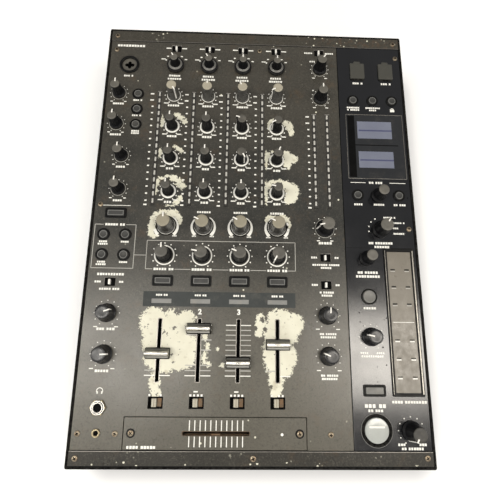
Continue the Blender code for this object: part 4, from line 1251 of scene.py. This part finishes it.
class Print:
    """Everything screen-printed in one colour on one plate."""

    def __init__(self):
        self.bm = bmesh.new()

    def bar(self, x, y, width, height):
        if not is_worn(x, y):
            half_w, half_h = width / 2, height / 2
            block(self.bm, x - half_w, x + half_w, y - half_h, y + half_h, INK_LOW, INK_HIGH)

    def pair(self, x, y, reach, width, height):
        """A mark on each side."""
        for side in (-reach, reach):
            self.bar(x + side, y, width, height)

    def rule(self, x0, y0, x1, y1):
        """A thin straight line along one of the axes."""
        self.bar((x0 + x1) / 2, (y0 + y1) / 2, abs(x1 - x0) or 0.6, abs(y1 - y0) or 0.6)

    def words(self, x, y, counts, height):
        """A label as plain letter-sized blocks: counts is how many each word has."""
        step, space = height * 1.1, height * 0.7
        total = sum(counts) * step + space * (len(counts) - 1) - height * 0.25
        cursor = x - total / 2
        for count in counts:
            for _ in range(count):
                width = height * DICE.choice((0.8, 0.86, 0.94))
                self.bar(cursor + width / 2, y, width, height * DICE.choice((0.92, 1.0, 1.0)))
                cursor += step
            cursor += space

    def lines(self, x, y, rows, height, pitch):
        """Labels under one another."""
        for n, counts in enumerate(rows):
            self.words(x, y - pitch * n, counts, height)

    def dots(self, x, y, radius, size):
        """Eleven dots round a knob, over the 300 degrees that it turns."""
        for i in range(11):
            angle = math.radians(240 - 30 * i)
            self.dot(x + radius * math.cos(angle), y + radius * math.sin(angle), size)

    def dot(self, x, y, size):
        if not is_worn(x, y):
            lathe(self.bm, x, y, ((size, INK_LOW), (size, INK_HIGH)), count=8)

    def ring(self, x, y, inner, outer):
        tube(self.bm, x, y, inner, outer, INK_LOW, INK_HIGH, 0, 48, 0.01)

    def arc(self, x, y, start, end, inner, outer):
        mid = math.radians(90 - (start + end) / 2)
        reach = (sum(outer) / 2 if isinstance(outer, tuple) else outer) - 0.6
        if not is_worn(x + reach * math.cos(mid), y + reach * math.sin(mid)):
            arc(self.bm, x, y, start, end, inner, outer, INK_LOW, INK_HIGH)

    def digit(self, text, x, y):
        """A plain numeral, thickened a little."""
        curve = bpy.data.curves.new(f"digit_{text}", "FONT")
        curve.body, curve.align_x = text, "CENTER"
        curve.size, curve.extrude, curve.offset = 6.8 * MM, 0.06 * MM, 0.28 * MM
        holder = show(f"digit_{text}", curve)
        mesh = worked_out(holder)
        mesh.transform(Matrix.Translation(Vector((x, y, TOP + 0.05)) * MM))
        self.bm.from_mesh(mesh)
        bpy.data.objects.remove(holder)


def print_channel(ink, dim, x):
    """What is printed along one channel, from the rear to the front."""
    ink.bar(x - 8.6, SWITCH_Y + 0.3, 5.4, 1.3)
    ink.bar(x + 8.4, SWITCH_Y + 0.3, 5.4, 1.3)
    for dx, dy, width in ((-13.6, 8.4, 4.6), (-9.0, 11.8, 2.2), (5.9, 12.0, 2.4), (10.4, 8.4, 2.8)):
        ink.bar(x + dx, INPUT_Y + dy, width, 1.2)
    ink.bar(x - 10.6, INPUT_Y + 7.2, 1.6, 1.6)
    ink.lines(x - 0.8, INPUT_Y - 12.0, ([5], [6]), 2.2, 3.8)
    ink.ring(x, LEVEL_Y, 6.5, 7.3)
    ink.dots(x, LEVEL_Y, 9.2, 0.68)
    ink.pair(x, LEVEL_Y - 9.2, 7.6, 5.2, 1.15)
    ink.words(x, LEVEL_Y - 11.9, [5], 2.25)
    for y, count in ((HIGH_Y, 4), (MID_Y, 3), (LOW_Y, 3)):
        ink.ring(x, y, 5.9, 7.7)
        ink.dots(x, y, 9.4, 0.68)
        ink.pair(x, y - 9.3, 7.4, 4.8, 1.15)
        ink.words(x, y - 11.6, [count], 2.35)
    print_filter(ink, x, FILTER_Y)
    ink.ring(x, SWEEP_Y, 8.6, 9.8)
    ink.dots(x, SWEEP_Y, 11.8, 0.7)
    ink.words(x, SWEEP_Y - 13.7, [5, 2], 2.3)
    ink.words(x, BAND_Y + 3.7, [3, 2], 1.8)
    for n in range(11):
        y = FADER_Y + FADER_TRAVEL * (n / 10 - 0.5)
        (ink if n in (0, 10) else dim).pair(x, y, 6.9, 9.4, 0.85)
    for dx in (-5.5, -2.2, 1.1, 4.4):
        ink.bar(x + dx, ASSIGN_Y + 6.3, 1.7, 1.8)
    ink.bar(x - 1.0, ASSIGN_Y + 9.4, 3.8, 1.2)


def print_filter(ink, x, y):
    """A ring, and on each side a band that grows wider towards its end."""
    ink.ring(x, y, 8.2, 8.85)
    for side in (-1, 1):
        for n in range(7):
            start, reach = 32 + 15.5 * n, 11.1 + 0.33 * n
            ink.arc(x, y, side * start, side * (start + 15.5), 10.2, (reach, reach + 0.33))
        ink.words(x + side * 8.6, y - 10.3, [3], 1.35)
    ink.words(x, y + 14.4, [6], 2.1)


def print_scale(ink, x, lights):
    """The marks beside a level meter."""
    ink.bar(x - 0.3, FIRST_LIGHT - 4.4, 3.2, 1.5)
    for n in range(lights):
        wide = n >= lights - 2
        ink.bar(x - (0.9 if wide else 0.0), FIRST_LIGHT + METER_PITCH * n, 3.8 if wide else 2.1, 1.45)


def print_microphone(ink, dim):
    ink.words(LEFT_X, SWITCH_Y + 2.0, [10], 2.7)
    ink.words(LEFT_X, INPUT_Y - 13.6, [3, 1], 2.0)
    for name, count in (("mic_1_level", 5), ("mic_2_level", 5), ("mic_high", 4), ("mic_low", 4)):
        x, y = axis_of(f"{name}_knob")
        dim.ring(x, y, 7.0, 7.4)
        ink.dots(x, y, 9.3, 0.5)
        ink.pair(x, y - 9.8, 7.0, 2.6, 1.0)
        ink.words(x, y - 12.4, [count], 2.1)
    for (x, y), rows in zip(MIC_KEYS, (([3, 1],), ([3, 1],), ([4], [4]))):
        ink.lines(x, y - 7.4, rows, 1.9, 2.5)
    ink.bar(LEFT_X + 0.2, FILTER_KEY[1] + 7.8, 27.0, 0.55)


def print_sweep(ink, dim):
    """The two boxes and the short line that joins them. Their labels interrupt them."""
    for x, y in SWEEP_KEYS:
        ink.words(x, y - 7.2, [4], 1.8)
        if x < LEFT_X:
            ink.words(x, y - 9.6, [5], 1.8)
    left, right, front, back = SWEEP_BOX
    for x in (left, right):
        dim.rule(x, front, x, back)
    dim.rule(left, front, right, front)
    dim.rule(left, back, LEFT_X - 11, back)
    dim.rule(LEFT_X + 11, back, right, back)
    ink.words(LEFT_X, back, [5, 2], 2.3)
    dim.rule(right, SWEEP_Y - 0.4, CHANNEL_BOX[0], SWEEP_Y - 0.4)
    left, right, front, back = CHANNEL_BOX
    for x in (left, right):
        dim.rule(x, front, x, back)
    dim.rule(left, back, right, back)
    stops = [left] + [x + side for x in CHANNELS for side in (-10.5, 10.5)] + [right]
    for start, end in zip(stops[::2], stops[1::2]):
        dim.rule(start, front, end, front)


def print_wide_knobs(ink):
    """The headphones' and the contour knobs' dots and labels."""
    ink.words(LEFT_X, SPLIT_CUE_Y + 7.2, [10], 2.3)
    ink.words(LEFT_X, SPLIT_CUE_Y - 6.8, [5, 3], 2.0)
    contour = (17.0, ([2, 5], [7]), 1.9)
    for name, (drop, rows, height) in (
        ("headphone_mix_knob", (14.6, ([3, 3],), 2.3)),
        ("headphone_level_knob", (14.6, ([5],), 2.3)),
        ("fader_contour_knob", contour),
        ("crossfader_contour_knob", contour),
    ):
        x, y = axis_of(name)
        ink.dots(x, y, 11.6, 0.5)
        ink.lines(x, y - drop, rows, height, 2.9)
        ink.pair(x, y - 12.6, 9.5, 3.6, 0.9)


def print_switches(ink):
    for x, y in SIDE_SWITCHES:
        ink.words(x - 11.2, y, [3], 1.9)
        ink.words(x + 10.6, y, [2], 1.9)
    for side in (-11.8, 11.2):
        ink.words(MASTER_X + side, SWITCH_Y - 0.4, [5], 1.7)
    ink.lines(MASTER_X, SWEEP_Y - 7.2, ([7, 5], [5]), 1.9, 2.9)
    ink.lines(MASTER_X, START_Y - 7.2, ([1, 5], [5]), 1.9, 2.9)


def print_outputs(ink, dim):
    knobs = (("master_level_knob", 9.6, 8.0), ("balance_knob", 9.6, 8.0), ("booth_level_knob", 11.4, 9.2))
    for name, reach, rim in knobs:
        x, y = axis_of(name)
        dim.ring(x, y, rim, rim + 0.4)
        ink.dots(x, y, reach, 0.55)
        ink.pair(x, y - reach - 1.2, 6.6, 3.0, 1.0)
    ink.words(MASTER_X - 7.5, axis_of("balance_knob")[1] + 9.8, [1], 1.8)
    ink.words(MASTER_X - 7.5, INPUT_Y + 10.8, [3], 1.9)
    ink.words(MASTER_X, FILTER_Y - 15.0, [5], 2.4)


def print_front(ink):
    """A headphones sign over the sockets, then the crossfader's scale and label."""
    sign_y = JACK_Y + 13.7
    arc(ink.bm, LEFT_X, sign_y, -115, 115, 2.4, 3.1, INK_LOW, INK_HIGH)
    ink.pair(LEFT_X, sign_y - 1.2, 2.0, 1.2, 2.3)
    for n in range(11):
        for side in (-6.6, 6.6):
            ink.bar(CROSS_X + 4.67 * (n - 5), CROSS_Y + side, 0.85, 8.6)
    ink.words(CROSS_X - 64.3, CROSS_LOW.y + 2.0, [4, 5], 2.4)
    ink.dot(CROSS_X + 57.9, CROSS_Y - 0.6, 1.3)  # one deep chip in the paint


def print_faceplate():
    ink, dim = Print(), Print()
    for x in CHANNELS:
        print_channel(ink, dim, x)
    for x in CHANNELS:
        print_scale(ink, x - 21.8, LONG_METER)
    print_scale(ink, MASTER_X - 13.7, SHORT_METER)
    print_microphone(ink, dim)
    print_sweep(ink, dim)
    print_wide_knobs(ink)
    print_switches(ink)
    print_outputs(ink, dim)
    print_front(ink)
    for text, x in (("2", CHANNELS[1]), ("3", CHANNELS[2])):
        ink.digit(text, x, FADER_Y + 32.3)
    bmesh.ops.remove_doubles(ink.bm, verts=ink.bm.verts, dist=1e-7)
    piece("plate_print", ink.bm, ["print"])
    piece("plate_print_dim", dim.bm, ["print_dim"])


def make_slot_edges():
    """Bare edges round the fader slots, and the rings round the filter knobs."""
    bm = bmesh.new()
    for x in CHANNELS:
        frame_ring(bm, x, FADER_Y, 4.6, 57.4, 0.7, TOP - 0.3, TOP + 0.12, 1.2, 0, 0.1)
        tube(bm, x, FILTER_Y, 8.9, 10.2, INK_LOW, TOP + 0.09, 2, 48, 0.01)
    frame_ring(bm, CROSS_X, CROSS_Y, 59.6, 3.9, 0.4, TOP - 0.3, TOP + 0.08, 1.2, 1, 0.05)
    piece("slot_edges", bm, ["edge", "rust", "rim"])


def print_fx_keys(ink):
    for x, y in USB_PORTS:
        ink.words(x, y - 14.2, [3, 1], 2.2)
    for (x, y), rows in zip(FX_KEYS, (([7], [1, 5]), ([8], [4]))):
        ink.lines(x, y - 8.6, rows, 1.8, 2.6)
    # a padlock under the third key
    x, y = FX_KEYS[2]
    ink.bar(x, y - 11.2, 4.6, 3.0)
    arc(ink.bm, x, y - 10.0, -90, 90, 1.1, 1.8, INK_LOW, INK_HIGH)
    # the label under the display, between two lines
    label_y = DISPLAY[2] - 4.8
    ink.words(FX_X - 2.0, label_y, [2, 3], 2.3)
    ink.rule(97.0, label_y, 112.5, label_y)
    ink.rule(137.0, label_y, 153.5, label_y)
    for dx, counts in ((-21.0, [4]), (0.0, [5]), (21.0, [2, 3])):
        ink.words(FX_X + dx, 22.5, counts, 2.0)


def print_fx_knobs(ink):
    x, y = axis_of("effect_assign_knob")
    for angle in (190, 165, 140, 115):
        turn = math.radians(angle)
        ink.bar(x + 12 * math.cos(turn), y + 12 * math.sin(turn), 1.5, 1.2)
    for dx, dy, counts in ((9.5, 12.5, [5, 1]), (18.5, 7.0, [5, 1]), (15.0, 1.5, [3]), (18.0, -4.0, [6])):
        ink.words(x + dx, y + dy, counts, 1.7)
    ink.words(FX_X - 1.0, y - 14.0, [2, 7], 2.3)
    ink.words(FX_X, y - 17.8, [6], 2.3)
    ink.lines(FX_LEFT_X, SWEEP_Y - 14.0, ([2, 5], [9]), 2.4, 3.8)
    ink.words(FX_LEFT_X, TAP_KEY[1] - 11.0, [5], 2.2)
    x, y = axis_of("effect_frequency_knob")
    ink.dots(x, y, 11.4, 0.5)
    ink.words(x - 7.5, y - 14.6, [4], 1.7)
    ink.words(x + 7.5, y - 14.6, [4], 1.7)
    ink.words(x, y - 17.6, [10], 1.9)
    ink.words(ON_X, ON_Y + 20.4, [3, 2], 3.2)
    ink.words(ON_X, ON_Y + 16.4, [2, 3], 2.2)
    x, y = axis_of("effect_amount_knob")
    ink.dots(x, y, 11.6, 0.6)
    ink.words(x - 9.5, y - 11.5, [3], 2.1)
    ink.words(x + 9.5, y - 11.5, [3], 2.1)
    ink.words(x, y - 14.8, [2, 6], 2.1)
    left, right, front, _ = STRIP
    ink.words((left + right) / 2, front - 4.6, [4, 8], 2.3)


def print_overlay():
    ink = Print()
    print_fx_keys(ink)
    print_fx_knobs(ink)
    piece("overlay_print", ink.bm, ["print"])


def make_band():
    """The darker film across the channels, with its four light bars."""
    bm = bmesh.new()
    middle_x = (CHANNELS[0] + CHANNELS[3]) / 2
    slab(bm, middle_x, BAND_Y, 143.0, 14.0, TOP - 0.1, TOP + 0.05, 0.4, 0.02)
    for x in CHANNELS:
        slab(bm, x, BAND_Y - 1.9, 18.5, 4.2, TOP - 0.1, TOP + 0.3, 0.4, 0.12, 1)
    piece("channel_band", bm, ["band", "bar"])


# ------------------------------------------------------------------ the room
def floor_paint():
    """White, brighter far away, with a soft contact shadow painted into it a little to the front and to the
    right of the case.
    """
    paint = Paint("floor_white")
    tone = paint.mix(paint.noise(3, 2), (0.86, 0.86, 0.86), (0.90, 0.90, 0.89))
    glow = paint.step(paint.vector("LENGTH", paint.where), 0.4, 2.4, 0.16, 0.66)
    # The painted contact shadow: near the case's outline, shifted a little to the front and to the right, the
    # floor is painted grey and glows less.
    shift, half_case = (0.014, -0.009, 0.0), (0.16, 0.22, 1.0)
    aside = paint.vector("ABSOLUTE", paint.vector("SUBTRACT", paint.where, shift))
    outside = paint.vector("MAXIMUM", paint.vector("SUBTRACT", aside, half_case), (0.0, 0.0, 0.0))
    outside_painted_shadow = paint.step(paint.vector("LENGTH", outside), 0.010, 0.044)
    tone = paint.mix(outside_painted_shadow, (0.52, 0.52, 0.53), tone)
    paint.set(Base_Color=tone, Roughness=0.9)
    paint.set(Emission_Color=(1.0, 1.0, 1.0, 1.0), Emission_Strength=paint.times(glow, outside_painted_shadow))
    return paint.material


def make_floor():
    bm = bmesh.new()
    reach = 40000
    block(bm, -reach, reach, -reach, reach, -20, 0)
    floor = show("floor", mesh_of("floor", bm))
    floor.data.materials.append(floor_paint())


def make_world():
    """A plain white surrounding that shows white to the camera and lights the object only weakly."""
    world = bpy.data.worlds.new("studio")
    bpy.context.scene.world = world
    world.use_nodes = True
    nodes, links = world.node_tree.nodes, world.node_tree.links
    background = nodes["Background"]
    path = nodes.new("ShaderNodeLightPath")
    strength = nodes.new("ShaderNodeMapRange")
    links.new(path.outputs["Is Camera Ray"], strength.inputs["Value"])
    strength.inputs["To Min"].default_value, strength.inputs["To Max"].default_value = 0.34, 1.0
    background.inputs["Color"].default_value = (1.0, 0.99, 0.97, 1.0)
    links.new(strength.outputs[0], background.inputs["Strength"])


# Lamps in metres and watts: where it is, what it points at, its size, power and colour.
MIDDLE = (0, 0, 0.05)
LAMPS = {
    "ceiling_left": ((-0.56, -0.16, 1.29), (-0.56, -0.16, 0.0), (0.72, 0.31), 8.6, (1.0, 0.965, 0.90)),
    "ceiling_right": ((0.60, -0.16, 1.29), (0.60, -0.16, 0.0), (0.62, 0.31), 8.0, (1.0, 0.94, 0.85)),
    "fill_left": ((-1.9, -0.5, 1.1), MIDDLE, (1.4, 1.2), 11, (1.0, 0.985, 0.96)),
    "fill_right": ((1.9, -0.3, 1.2), MIDDLE, (1.4, 1.2), 10, (1.0, 0.985, 0.96)),
    "fill_front": ((0.1, -1.9, 1.0), MIDDLE, (1.6, 1.0), 12, (1.0, 0.985, 0.96)),
}


def make_lamps():
    for name, (spot, aim, (width, height), power, colour) in LAMPS.items():
        data = bpy.data.lights.new(name, "AREA")
        data.shape, data.size, data.size_y = "RECTANGLE", width, height
        data.energy, data.color = power, colour
        made = show(name, data)
        made.location = spot
        made.rotation_euler = (Vector(aim) - Vector(spot)).to_track_quat("-Z", "Y").to_euler()


# The camera, in metres, as worked out from the outline of the plate in the photo.
CAMERA_SPOT = (-0.0156, -0.1142, 0.4621)
CAMERA_FORWARD, CAMERA_UP = (0.0283, 0.2279, -0.9733), (-0.0177, 0.9736, 0.2274)
CAMERA_LENS, CAMERA_SENSOR = 28.54, 36.0


def make_camera():
    camera = show("camera", bpy.data.cameras.new("camera"))
    camera.data.sensor_width, camera.data.lens = CAMERA_SENSOR, CAMERA_LENS
    camera.data.clip_start = 0.01
    forward = Vector(CAMERA_FORWARD).normalized()
    right = forward.cross(Vector(CAMERA_UP)).normalized()
    turn = Matrix((right, right.cross(forward), -forward)).transposed()
    camera.matrix_world = Matrix.Translation(CAMERA_SPOT) @ turn.to_4x4()
    bpy.context.scene.camera = camera
    bpy.context.scene.view_settings.view_transform = "Standard"


def paint_inside():
    for node, key in (("control_board", "board"), ("power_supply", "can")):
        materials = frame["nodes"][node].data.materials
        materials.clear()
        materials.append(M[key])


paint_inside()
make_case()
make_rails()
make_feet()
make_plates()
make_knobs()
make_faders()
make_dust_strips()
make_keys()
make_on_button()
make_switches()
make_meters()
make_display()
make_strip()
make_covers()
make_sockets()
make_screws()
make_rear()
make_band()
print_faceplate()
make_slot_edges()
print_overlay()
make_floor()
make_world()
make_lamps()
make_camera()
